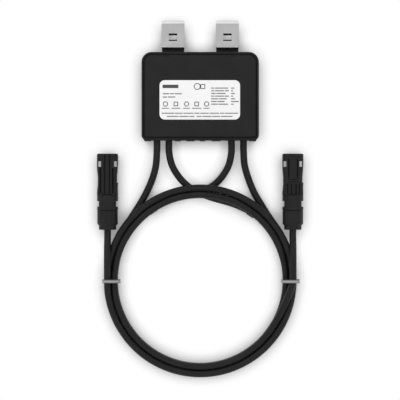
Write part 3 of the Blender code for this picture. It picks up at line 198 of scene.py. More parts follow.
@dataclass(frozen=True)
class Shader:
    """A new node material with its shader, and the few textures that the finishes share."""

    material: bpy.types.Material

    @classmethod
    def named(cls, name: str) -> "Shader":
        """Makes an empty node material of that name."""
        material = bpy.data.materials.new(name)
        material.use_nodes = True
        return cls(material)

    @property
    def nodes(self) -> bpy.types.Nodes:
        """The material's nodes."""
        return self.material.node_tree.nodes

    @property
    def surface(self) -> bpy.types.Node:
        """The material's main shader."""
        return self.nodes["Principled BSDF"]

    def link(self, source: bpy.types.NodeSocket, target: bpy.types.NodeSocket) -> None:
        """Joins two sockets."""
        self.material.node_tree.links.new(source, target)

    def drive(self, name: str, source: bpy.types.NodeSocket) -> None:
        """Lets a socket drive one of the main shader's inputs."""
        self.link(source, self.surface.inputs[name])

    def fix(self, name: str, value: float | tuple[float, ...]) -> None:
        """Gives one of the main shader's inputs a fixed value."""
        self.surface.inputs[name].default_value = value

    def add(self, kind: str, **values: object) -> bpy.types.Node:
        """Adds a node of a kind and sets its properties."""
        node = self.nodes.new(kind)
        for name, value in values.items():
            setattr(node, name, value)
        return node

    def place(self, stretch: tuple[float, float, float] = (1, 1, 1)) -> bpy.types.NodeSocket:
        """Object coordinates, stretched along the axes.

        Args:
            stretch: How many times finer the pattern is along each axis.

        Returns:
            The socket of the stretched coordinates.
        """
        mapping = self.add("ShaderNodeMapping")
        mapping.inputs["Scale"].default_value = stretch
        self.link(self.add("ShaderNodeTexCoord").outputs["Object"], mapping.inputs["Vector"])
        return mapping.outputs["Vector"]

    def noise(
        self,
        scale: float,
        detail: float = 3,
        stretch: tuple[float, float, float] = (1, 1, 1),
        roughness: float = 0.5,
    ) -> bpy.types.NodeSocket:
        """A noise pattern on Object coordinates.

        Args:
            scale: Features per metre.
            detail: Octaves.
            stretch: How many times finer the pattern is along each axis.
            roughness: How strong the finer octaves are.

        Returns:
            The socket of its value.
        """
        texture = self.add("ShaderNodeTexNoise")
        texture.inputs["Scale"].default_value = scale
        texture.inputs["Detail"].default_value = detail
        texture.inputs["Roughness"].default_value = roughness
        self.link(self.place(stretch), texture.inputs["Vector"])
        return texture.outputs["Fac"]

    def ranged(
        self, value: bpy.types.NodeSocket, start: float, end: float, low: float = 0, high: float = 1
    ) -> bpy.types.NodeSocket:
        """Spreads a value between two numbers evenly over a range, and stops at the range's ends.

        Args:
            value: The value's socket.
            start: Where the value gives the low end.
            end: Where it gives the high end.
            low: The low end.
            high: The high end.

        Returns:
            The socket of the spread value.
        """
        spread = self.add("ShaderNodeMapRange")
        for name, number in (("From Min", start), ("From Max", end), ("To Min", low), ("To Max", high)):
            spread.inputs[name].default_value = number
        self.link(value, spread.inputs["Value"])
        return spread.outputs["Result"]

    def between(self, pattern: bpy.types.NodeSocket, low: float, high: float) -> bpy.types.NodeSocket:
        """Spreads a pattern's middle values over a range, from its dark places to its bright ones."""
        return self.ranged(pattern, 0.3, 0.7, low, high)

    def blend(
        self,
        share: bpy.types.NodeSocket,
        first: tuple[float, float, float] | bpy.types.NodeSocket,
        second: tuple[float, float, float],
    ) -> bpy.types.NodeSocket:
        """Mixes two colours by a share.

        Args:
            share: Socket of the second colour's share.
            first: The first colour, or the socket that gives it.
            second: The second colour.

        Returns:
            The socket of the mixed colour.
        """
        mix = self.add("ShaderNodeMix", data_type="RGBA")
        self.link(share, mix.inputs["Factor"])
        if isinstance(first, bpy.types.NodeSocket):
            self.link(first, mix.inputs["A"])
        else:
            mix.inputs["A"].default_value = (*first, 1)
        mix.inputs["B"].default_value = (*second, 1)
        return mix.outputs["Result"]

    def relief(self, pattern: bpy.types.NodeSocket, strength: float, depth: float) -> None:
        """Turns a pattern into fine relief on the surface.

        Args:
            pattern: Socket of the height pattern.
            strength: Share of the relief that shows.
            depth: Its height in metres.
        """
        bump = self.add("ShaderNodeBump")
        bump.inputs["Strength"].default_value = strength
        bump.inputs["Distance"].default_value = depth
        self.link(pattern, bump.inputs["Height"])
        self.drive("Normal", bump.outputs["Normal"])

    def hollows(self, reach: float, deepest: float = 0.35, shallowest: float = 0.96) -> bpy.types.NodeSocket:
        """A mask for painted shade: bright where neighbouring faces close in, as in grooves, seams and
        slots, where the finishes darken the base colour.

        Args:
            reach: How far a neighbouring face counts, in metres.
            deepest: The openness at which the mask is full.
            shallowest: The openness at which the mask starts.

        Returns:
            The socket of the mask.
        """
        openness = self.add("ShaderNodeAmbientOcclusion", samples=8)
        openness.inputs["Distance"].default_value = reach
        return self.ranged(openness.outputs["AO"], shallowest, deepest)

    def band(self, start: float, end: float, soft: float) -> bpy.types.NodeSocket:
        """A mask that is 1 between two places along Y and fades out beside them.

        Args:
            start: Lower end along Y, in metres.
            end: Upper end along Y, in metres.
            soft: Width of the fading, in metres.

        Returns:
            The socket of the mask.
        """
        split = self.add("ShaderNodeSeparateXYZ")
        self.link(self.place(), split.inputs["Vector"])
        both = self.add("ShaderNodeMath", operation="MULTIPLY")
        for number, (outer, inner) in enumerate(((start - soft, start + soft), (end + soft, end - soft))):
            self.link(self.ranged(split.outputs["Y"], outer, inner), both.inputs[number])
        return both.outputs["Value"]

    def edge_wear_and_highlight(self, radius: float, strength: float) -> bpy.types.NodeSocket:
        """A mask that is bright along the sharp edges, where a part is rubbed and where a painted highlight
        lightens them.

        Args:
            radius: How far from an edge the mask reaches, in metres.
            strength: The mask's value at an edge.

        Returns:
            The socket of the mask.
        """
        rounded = self.add("ShaderNodeBevel", samples=4)
        rounded.inputs["Radius"].default_value = radius
        plain = self.add("ShaderNodeNewGeometry")
        likeness = self.add("ShaderNodeVectorMath", operation="DOT_PRODUCT")
        self.link(rounded.outputs["Normal"], likeness.inputs[0])
        self.link(plain.outputs["Normal"], likeness.inputs[1])
        return self.ranged(likeness.outputs["Value"], 0.99, 0.8, 0, strength)


def scaled(colour: tuple[float, float, float], share: float) -> tuple[float, float, float]:
    """A colour made lighter or darker by a share."""
    return tuple(min(channel * share, 1.0) for channel in colour)


@dataclass(frozen=True)
class MouldedPlastic:
    """Plastic from a textured mould: fine grain, faint flow clouds, edges painted lighter for rubbing and
    for painted highlight, and painted shade in grooves and seams.
    """

    name: str
    colour: tuple[float, float, float]
    roughness: float = 0.5
    grain: float = 1500
    depth: float = 0.06 * MM
    specular: float = 0.12
    edge_light: float = 1.6
    hollow_reach: float = 2.2 * MM
    hollow_tone: float = 0.12

    def material(self) -> bpy.types.Material:
        """Builds the node material."""
        shader = Shader.named(self.name)
        clouds = shader.between(shader.noise(55, 4), 0, 1)
        tone = shader.blend(clouds, scaled(self.colour, 0.9), scaled(self.colour, 1.1))
        # Edges painted lighter: partly rubbed wear, partly painted highlight where light catches the edges.
        rubbed_and_highlit = shader.blend(shader.edge_wear_and_highlight(0.5 * MM, 0.8), tone, scaled(self.colour, self.edge_light))
        # Painted shade: the base colour darkens in grooves, seams and slots, where shade falls.
        painted_hollow_shade = shader.blend(shader.hollows(self.hollow_reach), rubbed_and_highlit, scaled(self.colour, self.hollow_tone))
        shader.drive("Base Color", painted_hollow_shade)
        gloss = shader.between(shader.noise(180, 3), self.roughness - 0.06, self.roughness + 0.07)
        shader.drive("Roughness", gloss)
        shader.fix("Specular IOR Level", self.specular)
        shader.relief(shader.noise(self.grain, 4, roughness=0.6), 0.5, self.depth)
        return shader.material


@dataclass(frozen=True)
class RolledSteel:
    """Rolled spring steel with fine lines along the rolling direction, a slightly uneven grey skin, bands of
    painted highlight, and painted shade in its hollows.

    Attributes:
        painted_highlight_bands: Bands of painted highlight, on the flared lip and the bend, as lower and
            upper end along Y in millimetres and how much lighter they are.
        bend: Lower and upper end along Y, in millimetres, of the bend that mirrors less.
        fade: How softly the bands end, in metres.
    """

    name: str
    colour: tuple[float, float, float]
    roughness: float = 0.42
    metallic: float = 1.0
    lines: tuple[float, float, float] = (1, 0.06, 1)
    painted_highlight_bands: tuple[tuple[float, float, float], ...] = ()
    bend: tuple[float, float] | None = None
    bend_metallic: float = 0.05
    fade: float = 0.2 * MM
    hollow_tone: float = 0.02

    def material(self) -> bpy.types.Material:
        """Builds the node material."""
        shader = Shader.named(self.name)
        streaks = shader.noise(2600, 3, self.lines)
        skin = shader.between(shader.noise(90, 4), 0, 1)
        tone = shader.blend(skin, scaled(self.colour, 0.95), scaled(self.colour, 1.05))
        # Painted highlight: bands on the lip and the bend are lighter, where light catches the bent steel.
        for start, end, share in self.painted_highlight_bands:
            band = shader.band(start * MM, end * MM, self.fade)
            tone = shader.blend(band, tone, scaled(self.colour, share))
        # Edges painted lighter: partly rubbed wear, partly painted highlight where light catches the edges.
        rubbed_and_highlit = shader.blend(shader.edge_wear_and_highlight(0.3 * MM, 0.7), tone, scaled(self.colour, 1.45))
        # Painted shade: the base colour goes nearly black inside the clip's U and behind its slits, where
        # shade falls.
        hollow = shader.hollows(6 * MM, 0.58, 0.85)
        shader.drive("Base Color", shader.blend(hollow, rubbed_and_highlit, scaled(self.colour, self.hollow_tone)))
        gloss = shader.between(streaks, self.roughness - 0.07, self.roughness + 0.08)
        shader.drive("Roughness", gloss)
        shader.fix("Metallic", self.metallic)
        if self.bend:
            start, end = self.bend
            dulled = shader.band(start * MM, end * MM, self.fade)
            shader.drive("Metallic", shader.between(dulled, self.metallic, self.bend_metallic))
        shader.relief(streaks, 0.35, 0.01 * MM)
        return shader.material


@dataclass(frozen=True)
class CableJacket:
    """Satin cross-linked cable jacket: extrusion marks, dusty patches and a soft even gloss."""

    name: str
    colour: tuple[float, float, float]
    roughness: float = 0.42
    specular: float = 0.19

    def material(self) -> bpy.types.Material:
        """Builds the node material."""
        shader = Shader.named(self.name)
        dust = shader.between(shader.noise(70, 5), 0, 1)
        shader.drive("Base Color", shader.blend(dust, scaled(self.colour, 0.85), scaled(self.colour, 1.25)))
        gloss = shader.between(shader.noise(320, 4), self.roughness - 0.06, self.roughness + 0.1)
        shader.drive("Roughness", gloss)
        shader.fix("Specular IOR Level", self.specular)
        shader.relief(shader.noise(900, 3), 0.4, 0.05 * MM)
        return shader.material


@dataclass(frozen=True)
class SoftRubber:
    """Matte sealing rubber with talc-like mottling."""

    name: str
    colour: tuple[float, float, float]

    def material(self) -> bpy.types.Material:
        """Builds the node material."""
        shader = Shader.named(self.name)
        mottle = shader.between(shader.noise(400, 5), 0, 1)
        shader.drive("Base Color", shader.blend(mottle, scaled(self.colour, 0.8), scaled(self.colour, 1.5)))
        shader.drive("Roughness", shader.between(shader.noise(700, 3), 0.66, 0.86))
        shader.fix("Specular IOR Level", 0.2)
        shader.relief(shader.noise(1200, 3), 0.4, 0.05 * MM)
        return shader.material


@dataclass(frozen=True)
class TieNylon:
    """Milky grey nylon, smooth and slightly shining, with a painted highlight on a ridge between two places
    along Y.
    """

    name: str
    colour: tuple[float, float, float]
    highlight_ridge: tuple[float, float] = (-185.6 * MM, -184.5 * MM)

    def material(self) -> bpy.types.Material:
        """Builds the node material."""
        shader = Shader.named(self.name)
        milk = shader.between(shader.noise(260, 3), 0, 1)
        strap = shader.blend(milk, scaled(self.colour, 0.5), scaled(self.colour, 0.58))
        # Painted highlight: the strap's middle is lighter, where light catches its rounded top.
        shader.drive("Base Color", shader.blend(shader.band(*self.highlight_ridge, 0.25 * MM), strap, self.colour))
        shader.drive("Roughness", shader.between(shader.noise(500, 2), 0.36, 0.5))
        shader.fix("Specular IOR Level", 0.3)
        shader.relief(shader.noise(1500, 2), 0.3, 0.03 * MM)
        return shader.material


@dataclass(frozen=True)
class LabelFilm:
    """White printed film: almost even white, faint paper-like tooth and a slight satin gloss."""

    name: str
    colour: tuple[float, float, float]
    roughness: float = 0.42

    def material(self) -> bpy.types.Material:
        """Builds the node material."""
        shader = Shader.named(self.name)
        tint = shader.between(shader.noise(120, 4), 0, 1)
        shader.drive("Base Color", shader.blend(tint, scaled(self.colour, 0.975), scaled(self.colour, 1.01)))
        gloss = shader.between(shader.noise(600, 3), self.roughness - 0.05, self.roughness + 0.08)
        shader.drive("Roughness", gloss)
        shader.fix("Specular IOR Level", 0.3)
        shader.relief(shader.noise(2600, 3), 0.25, 0.02 * MM)
        return shader.material


@dataclass(frozen=True)
class BareMetal:
    """Bare or plated metal of the inner parts: mottled tone, brushed or drawn lines."""

    name: str
    colour: tuple[float, float, float]
    roughness: float = 0.3
    stretch: tuple[float, float, float] = (1, 1, 0.1)

    def material(self) -> bpy.types.Material:
        """Builds the node material."""
        shader = Shader.named(self.name)
        stain = shader.between(shader.noise(300, 5), 0, 1)
        shader.drive("Base Color", shader.blend(stain, scaled(self.colour, 0.85), scaled(self.colour, 1.08)))
        drawn = shader.noise(2400, 3, self.stretch)
        gloss = shader.between(drawn, self.roughness - 0.08, self.roughness + 0.12)
        shader.drive("Roughness", gloss)
        shader.fix("Metallic", 1)
        shader.relief(drawn, 0.3, 0.01 * MM)
        return shader.material


@dataclass(frozen=True)
class BoardLaminate:
    """Green coated laminate: the woven glass shows faintly through the lacquer."""

    name: str
    colour: tuple[float, float, float]

    def material(self) -> bpy.types.Material:
        """Builds the node material."""
        shader = Shader.named(self.name)
        weave = shader.add("ShaderNodeTexChecker")
        weave.inputs["Scale"].default_value = 1600
        weave.inputs["Color1"].default_value = (*scaled(self.colour, 0.9), 1)
        weave.inputs["Color2"].default_value = (*scaled(self.colour, 1.1), 1)
        shader.link(shader.place(), weave.inputs["Vector"])
        lacquer = shader.between(shader.noise(70, 4), 0, 0.35)
        tone = shader.blend(lacquer, weave.outputs["Color"], scaled(self.colour, 0.6))
        shader.drive("Base Color", tone)
        shader.drive("Roughness", shader.between(shader.noise(220, 2), 0.28, 0.42))
        shader.relief(shader.noise(1600, 2), 0.3, 0.02 * MM)
        return shader.material


class Finish(Enum):
    """Every finish of the optimizer."""

    HOUSING = MouldedPlastic("housing_plastic_finish", (0.0165, 0.0165, 0.017), hollow_tone=0.5)
    LID = MouldedPlastic("lid_plastic_finish", (0.0168, 0.0168, 0.0172), roughness=0.48, hollow_tone=0.5)
    CONNECTOR = MouldedPlastic(
        "connector_plastic_finish", (0.0162, 0.0161, 0.016), roughness=0.46, grain=2200
    )
    CHIP = MouldedPlastic("chip_epoxy_finish", (0.016, 0.016, 0.016), roughness=0.6, grain=3000)
    FERRITE = MouldedPlastic(
        "core_coating_finish", (0.055, 0.056, 0.06), roughness=0.55, grain=900, specular=0.4
    )
    CLIP = RolledSteel(
        "spring_steel_finish",
        (0.5, 0.5, 0.505),
        painted_highlight_bands=((72.9, 75.0, 1.75), (75.2, 76.5, 1.1), (46.5, 50.0, 1.9)),
        bend=(46.5, 50.0),
    )
    RIVET = RolledSteel("rivet_steel_finish", (0.42, 0.42, 0.43), roughness=0.36, lines=(1, 1, 0.2))
    JACKET = CableJacket("cable_jacket_finish", (0.0098, 0.0098, 0.0099))
    SEAL = SoftRubber("sealing_rubber_finish", (0.0105, 0.0105, 0.0105))
    TIE = TieNylon("tie_nylon_finish", (0.38, 0.38, 0.375))
    LABEL = LabelFilm("label_film_finish", (0.92, 0.92, 0.92))
    INK = LabelFilm("print_ink_finish", (0.075, 0.075, 0.075), roughness=0.5)
    PALE_INK = LabelFilm("pale_print_ink_finish", (0.2, 0.2, 0.2), roughness=0.5)
    TIN = BareMetal("tin_plate_finish", (0.62, 0.61, 0.59))
    COPPER = BareMetal("bare_copper_finish", (0.62, 0.27, 0.14))
    CAN = BareMetal("capacitor_can_finish", (0.62, 0.63, 0.65), roughness=0.26)
    LAMINATE = BoardLaminate("board_laminate_finish", (0.012, 0.085, 0.03))

    @property
    def made(self) -> bpy.types.Material:
        """The finish's material, built the first time it is asked for."""
        return bpy.data.materials.get(self.value.name) or self.value.material()


# Studio


@dataclass
class Studio:
    """Camera, floor, soft lamp and world, as a plain product photograph from straight above."""

    camera_place: tuple[float, float, float] = (-0.0002, -0.1036, 2.2372)
    lens: float = 200
    floor_size: float = 14
    world_level: float = 0.95
    key_power: float = 2.6
    floor_tone: float = 0.8
    shadow_reach: float = 14 * MM
    glow_in_shadow: float = 0.15

    def build(self) -> None:
        """Adds everything that the object is seen with."""
        self.add_camera()
        self.add_floor()
        self.light_world()
        self.add_key_lamp()
        scene = bpy.context.scene
        scene.view_settings.view_transform = "Standard"

    def add_camera(self) -> None:
        """Adds the camera, looking straight down with +Y up in the picture."""
        bpy.ops.object.camera_add(location=self.camera_place, rotation=(0, 0, 0))
        camera = bpy.context.object
        camera.name = "camera_above"
        camera.data.lens = self.lens
        camera.data.sensor_width = 36
        camera.data.clip_start = 0.01
        camera.data.clip_end = 50
        bpy.context.scene.camera = camera

    def add_floor(self) -> None:
        """Adds the white floor, which glows away from the object, so that only a shadow greys it."""
        shader = Shader.named("studio_floor")
        shader.fix("Base Color", (self.floor_tone,) * 3 + (1,))
        shader.fix("Roughness", 0.9)
        shader.fix("Specular IOR Level", 0)
        glow = shader.add("ShaderNodeEmission")
        glow.inputs["Color"].default_value = (1, 1, 1, 1)
        glow.inputs["Strength"].default_value = 1
        openness = shader.add("ShaderNodeAmbientOcclusion", samples=16)
        openness.inputs["Distance"].default_value = self.shadow_reach
        clear = shader.ranged(openness.outputs["AO"], 0.5, 0.99, self.glow_in_shadow, 1)
        part = shader.add("ShaderNodeMath", operation="MULTIPLY")
        shader.link(self.seen_directly(shader), part.inputs[0])
        shader.link(clear, part.inputs[1])
        mix = shader.add("ShaderNodeMixShader")
        shader.link(part.outputs["Value"], mix.inputs["Fac"])
        shader.link(shader.surface.outputs["BSDF"], mix.inputs[1])
        shader.link(glow.outputs["Emission"], mix.inputs[2])
        shader.link(mix.outputs["Shader"], shader.nodes["Material Output"].inputs["Surface"])
        bpy.ops.mesh.primitive_plane_add(size=self.floor_size, location=(0, -0.1, -0.1 * MM))
        floor = bpy.context.object
        floor.name = "studio_floor"
        wear_material(floor, shader.material)

    @staticmethod
    def seen_directly(shader: Shader) -> bpy.types.NodeSocket:
        """A socket that is 1 for the camera, for glossy and for transmission rays, and 0 for others."""
        path = shader.add("ShaderNodeLightPath")
        seen = path.outputs["Is Camera Ray"]
        for other in ("Is Glossy Ray", "Is Transmission Ray"):
            either = shader.add("ShaderNodeMath", operation="MAXIMUM")
            shader.link(seen, either.inputs[0])
            shader.link(path.outputs[other], either.inputs[1])
            seen = either.outputs["Value"]
        return seen

    def light_world(self) -> None:
        """Sets the even white surroundings that give the soft light from all sides."""
        world = bpy.data.worlds.new("studio_world")
        world.use_nodes = True
        world.node_tree.nodes["Background"].inputs["Color"].default_value = (1, 1, 1, 1)
        world.node_tree.nodes["Background"].inputs["Strength"].default_value = self.world_level
        bpy.context.scene.world = world

    def add_key_lamp(self) -> None:
        """Adds the large soft lamp above the top left, which gives forms a slight direction of light."""
        bpy.ops.object.light_add(type="AREA", location=(-0.7, 0.9, 1.3))
        lamp = bpy.context.object
        lamp.name = "soft_key_lamp"
        lamp.data.shape = "SQUARE"
        lamp.data.size = 1.2
        lamp.data.energy = self.key_power
        towards = Vector((0, -0.1, 0)) - Vector(lamp.location)
        lamp.rotation_euler = towards.to_track_quat("-Z", "Y").to_euler()


# Leads


def eased(share: float) -> float:
    """A share from 0 to 1 that starts and ends softly."""
    share = min(max(share, 0.0), 1.0)
    return share * share * (3 - 2 * share)


@dataclass
class Leads:
    """The four leads, their wound length, end caps and ties. Lengths are in millimetres."""

    radius: float = 3.5
    ring_y: float = -184.25
    inner_strand: float = 86.15
    outer_strand: float = 93.1
    connector_x: float = 92.8
    low: float = 4.9
    high: float = 11.9
    crossing_rise: float = 7.0
    crossing_flat_degrees: float = 12
    crossing_slope_degrees: float = 23
    spacing: float = 2.5
    cap_radius: float = 3.95
    cap_length: float = 8.5

    def build(self) -> None:
        """Dresses the ties and makes the four leads with their caps."""
        for side in ("left", "right"):
            dressed_copy(f"cable_tie_{side}", Finish.TIE.made, rounding=0.12 * MM)
            log.info("cable_tie_%s: dressed", side)
        for name, route, length in (
            ("output_lead_left", self.left_route(), 1.124),
            ("output_lead_right", self.right_route(), 1.058),
        ):
            self.lay_lead(name, route, (f"{name}_start", f"{name}_end", "lead_coil"), "coiled")
        for name, route, length in (
            ("input_lead_left", self.short_left_route(), 0.134),
            ("input_lead_right", self.short_right_route(), 0.129),
        ):
            self.lay_lead(name, route, (name,), "loose")

    def on_ring(self, radius: float, degrees: float, z: float) -> tuple[float, float, float]:
        """A place on the coil, counter-clockwise from its right."""
        turn = math.radians(degrees)
        return (radius * math.cos(turn), self.ring_y + radius * math.sin(turn), z)

    def on_inner(self, degrees: float, z: float) -> tuple[float, float, float]:
        """A place on the coil's inner strand."""
        return self.on_ring(self.inner_strand - 0.25 * math.sin(math.radians(degrees)), degrees, z)

    def on_outer(self, degrees: float, z: float) -> tuple[float, float, float]:
        """A place on the coil's outer strand, which touches the inner one."""
        return self.on_ring(self.outer_strand - 0.35 * math.sin(math.radians(degrees)), degrees, z)

    def rise_at_top(self, degrees: float) -> float:
        """How far a strand is lifted where the input leads run under the coil."""
        away = abs((degrees - 90 + 180) % 360 - 180)
        down = (away - self.crossing_flat_degrees) / self.crossing_slope_degrees
        return self.crossing_rise * (1 - eased(down))

    def climb(self, share: float) -> float:
        """Height of a strand that climbs from the low to the high layer."""
        return self.low + (self.high - self.low) * eased(share)

    def left_route(self) -> list[tuple[float, float, float]]:
        """From the housing's fourth outlet, clockwise one and a half times round, to the left connector."""
        route = [
            (43.3, -36.1, 11.5),
            (43.3, -44, 11.5),
            (43.5, -56, 11.0),
            (44.5, -68.6, 8.8),
            (48.5, -82.6, 6.5),
            (54.4, -96.7, 5.0),
        ]
        route += [self.on_ring(r, a, self.low) for r, a in ((97.2, 50.5), (94.6, 45.0), (93.2, 39.0))]
        route += [self.on_outer(a, self.low) for a in range(30, -160, -15)]
        route += [self.on_outer(a, self.climb((-160 - a) / 40)) for a in range(-160, -201, -8)]
        route += [self.on_outer(a, self.high + self.rise_at_top(a)) for a in range(-212, -510, -12)]
        route += [self.on_outer(a, 7.0 + self.climb((-520 - a) / 40)) for a in range(-512, -540, -7)]
        for dy, z in (
            (0.5, 15.45),
            (8, 16.7),
            (16, 17.75),
            (22, 17.95),
            (27, 17.4),
            *self.descent(),
        ):
            route.append((-self.connector_x, self.ring_y + dy, z))
        return route

    @staticmethod
    def descent() -> tuple[tuple[float, float], ...]:
        """The last stretch down into a connector, as places along Y from the coil's centre and heights."""
        return (
            (32, 16.05),
            (36, 14.4),
            (39, 12.95),
            (42, 11.7),
            (44.5, 10.95),
            (47, 10.6),
            (50.85, 10.6),
            (58.85, 10.6),
            (82.75, 10.6),
        )

    def right_route(self) -> list[tuple[float, float, float]]:
        """From the first outlet, counter-clockwise one and a half times round, to the right connector."""
        route = [
            (-43.3, -36.1, 11.5),
            (-43.3, -44, 11.5),
            (-43.4, -56, 11.0),
            (-44.6, -70, 8.6),
            (-47.9, -82, 6.5),
            (-53.6, -95.4, 5.1),
        ]
        for r, a in (
            (97.0, 129),
            (94.7, 134),
            (92.9, 140),
            (90.9, 146),
            (88.6, 152.5),
            (86.7, 160),
            (86.1, 169),
        ):
            route.append(self.on_ring(r, a, self.low))
        route += [self.on_inner(a, self.low) for a in range(180, 338, 15)]
        route += [self.on_inner(a, self.climb((a - 340) / 55)) for a in range(340, 396, 11)]
        route += [self.on_inner(a, self.high + self.rise_at_top(a)) for a in range(407, 674, 12)]
        for a, r, z in (
            (680, 86.2, 12.0),
            (686, 86.15, 12.5),
            (692, 86.2, 13.5),
            (698, 86.6, 15.1),
            (704, 87.55, 16.7),
            (710, 89.1, 18.0),
            (715, 91.0, 18.7),
            (720, 92.6, 18.9),
        ):
            route.append(self.on_ring(r, a, z))
        for dy, z in ((8, 18.85), (16, 18.55), (22, 18.1), (27, 17.4), *self.descent()):
            route.append((self.connector_x, self.ring_y + dy, z))
        return route

    def short_left_route(self) -> list[tuple[float, float, float]]:
        """From the housing's second outlet, over the other input lead and under the coil's top."""
        route = [
            (-31.3, -36.1, 11.5),
            (-31.3, -44, 11.5),
            (-31.1, -56.4, 11.6),
            (-28.1, -69.1, 11.8),
            (-22.2, -79.3, 11.9),
        ]
        for dx, dy, z in (
            (-15.6, 97.45, 11.8),
            (-9.7, 92.6, 11.75),
            (-2.8, 88.6, 11.7),
            (4.9, 85.4, 11.55),
            (12, 82.9, 10.9),
            (19, 80.9, 9.4),
            (26.5, 78.9, 7.5),
            (34.5, 76.4, 5.8),
            (42, 73.2, 4.8),
            (48.5, 69.9, 4.4),
            (54.5, 65.9, 4.4),
        ):
            route.append((dx, self.ring_y + dy, z))
        return route

    def short_right_route(self) -> list[tuple[float, float, float]]:
        """From the housing's third outlet, low under the coil's top to the other side."""
        route = [
            (31.3, -36.1, 11.5),
            (31.3, -44, 11.5),
            (31.2, -56.4, 10.4),
            (28.4, -69.1, 7.6),
            (22.6, -79.3, 5.6),
        ]
        for dx, dy, z in (
            (15.9, 97.45, 4.9),
            (10.1, 93.5, 4.7),
            (2.5, 90.4, 4.6),
            (-4.5, 88.1, 4.55),
            (-12, 86.3, 4.5),
            (-20, 84.0, 4.45),
            (-28, 81.4, 4.4),
            (-36, 78.2, 4.4),
            (-44, 74.0, 4.4),
            (-51, 69.4, 4.4),
        ):
            route.append((dx, self.ring_y + dy, z))
        return route

    def line_through(self, route: list[tuple[float, float, float]]) -> list[Vector]:
        """Closely spaced points, in metres, on a smooth curve through a route.

        Args:
            route: The route's own points in millimetres.

        Returns:
            The points of the lead's centreline.
        """
        knots = [Vector(point) * MM for point in route]
        knots = [2 * knots[0] - knots[1], *knots, 2 * knots[-1] - knots[-2]]
        line = [knots[1]]
        for a, b, c, d in zip(knots, knots[1:], knots[2:], knots[3:]):
            at_b = (b - a).length ** 0.5
            at_c = at_b + (c - b).length ** 0.5
            at_d = at_c + (d - c).length ** 0.5
            steps = max(2, round((c - b).length / (self.spacing * MM)))
            for step in range(1, steps + 1):
                t = at_b + (at_c - at_b) * step / steps
                ab = a.lerp(b, t / at_b)
                bc = b.lerp(c, (t - at_b) / (at_c - at_b))
                cd = c.lerp(d, (t - at_c) / (at_d - at_c))
                abc = ab.lerp(bc, t / at_c)
                bcd = bc.lerp(cd, (t - at_b) / (at_d - at_b))
                line.append(abc.lerp(bcd, (t - at_b) / (at_c - at_b)))
        return line

    def lay_lead(
        self,
        name: str,
        route: list[tuple[float, float, float]],
        nodes: tuple[str, ...],
        lay: str,
    ) -> None:
        """Args:
            name: The lead's name.
            route: Its route in millimetres, from the terminal in the housing.
            nodes: The CAD nodes that it stands for.
        """
        line = self.line_through(route)
        curve = bpy.data.curves.new(f"{name}_cable", "CURVE")
        curve.dimensions = "3D"
        curve.bevel_depth = self.radius * MM
        curve.bevel_resolution = 5
        curve.use_fill_caps = True
        spline = curve.splines.new("POLY")
        spline.points.add(len(line) - 1)
        for point, place in zip(spline.points, line):
            point.co = (*place, 1)
        spline.use_smooth = True
        curve.materials.append(Finish.JACKET.made)
        cable = bpy.data.objects.new(f"{name}_cable", curve)
        bpy.context.scene.collection.objects.link(cable)
        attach(cable, "root")
        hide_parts(*nodes)
        if lay == "coiled":
            side = name.rsplit("_", 1)[1]
            contact = "pin" if side == "left" else "socket"
            with_pieces = [
                f"{side}_front_sleeve_dressed",
                f"{side}_connector_body_dressed",
                f"{side}_cap_nut_dressed",
                f"{side}_{contact}_contact",
                f"{side}_cable_seal",
                f"{side}_collet",
                f"cable_tie_{side}_dressed",
            ]
        else:
            with_pieces = [self.end_cap(f"{name}_end_cap", line)]
        run = sum((q - p).length for p, q in zip(line, line[1:]))
        log.info("%s: %.3f m of cable", name, run)

    def end_cap(self, name: str, line: list[Vector]) -> bpy.types.Object:
        """A plain rubber cap pushed over an input lead's end, with a rounded nose.

        Args:
            name: The cap's name.
            line: The lead's centreline, whose last point is its end.

        Returns:
            The finished cap.
        """
        direction = (line[-1] - line[-4]).normalized()
        turn = direction.to_track_quat("Z", "Y").to_euler()
        length = self.cap_length * MM
        middle = line[-1] - direction * (length / 2 - 1 * MM)
        bpy.ops.mesh.primitive_cylinder_add(
            vertices=32,
            radius=self.cap_radius * MM,
            depth=length,
            end_fill_type="NGON",
            location=middle,
            rotation=turn,
        )
        cap = bpy.context.object
        cap.name = name
        bpy.ops.object.mode_set(mode="EDIT")
        bpy.ops.mesh.select_all(action="SELECT")
        bpy.ops.mesh.subdivide(number_cuts=1)
        bpy.ops.object.mode_set(mode="OBJECT")
        wear_material(cap, Finish.SEAL.made)
        round_edges(cap, 0.8 * MM, 3)
        return settle(cap)


# Housing


@dataclass
class Housing:
    """The tub, lid, seal and lead bushings."""

    rounding: float = 0.2 * MM
    lid_rounding: float = 0.1 * MM
    bushings: int = 4

    def build(self) -> None:
        """Dresses the housing's pieces."""
        dressed_copy("rear_housing", Finish.HOUSING.made, rounding=self.rounding)
        dressed_copy("front_cover", Finish.LID.made, rounding=self.lid_rounding)
        dressed_copy("cover_seal", Finish.SEAL.made, rounding=0)
        for number in range(1, self.bushings + 1):
            dressed_copy(f"lead_bushing_{number}", Finish.SEAL.made, rounding=0.15 * MM)
        log.info("housing: tub, lid, seal and %d bushings dressed", self.bushings)


@dataclass
class FrameClips:
    """The two spring clips and their rivets."""

    rounding: float = 0.1 * MM

    def build(self) -> None:
        """Dresses the clips and rivets."""
        for side in ("left", "right"):
            dressed_copy(f"frame_clip_{side}", Finish.CLIP.made, rounding=self.rounding)
            dressed_copy(f"clip_rivet_{side}", Finish.RIVET.made, rounding=0)
            log.info("frame_clip_%s: dressed with its rivet", side)


# Label


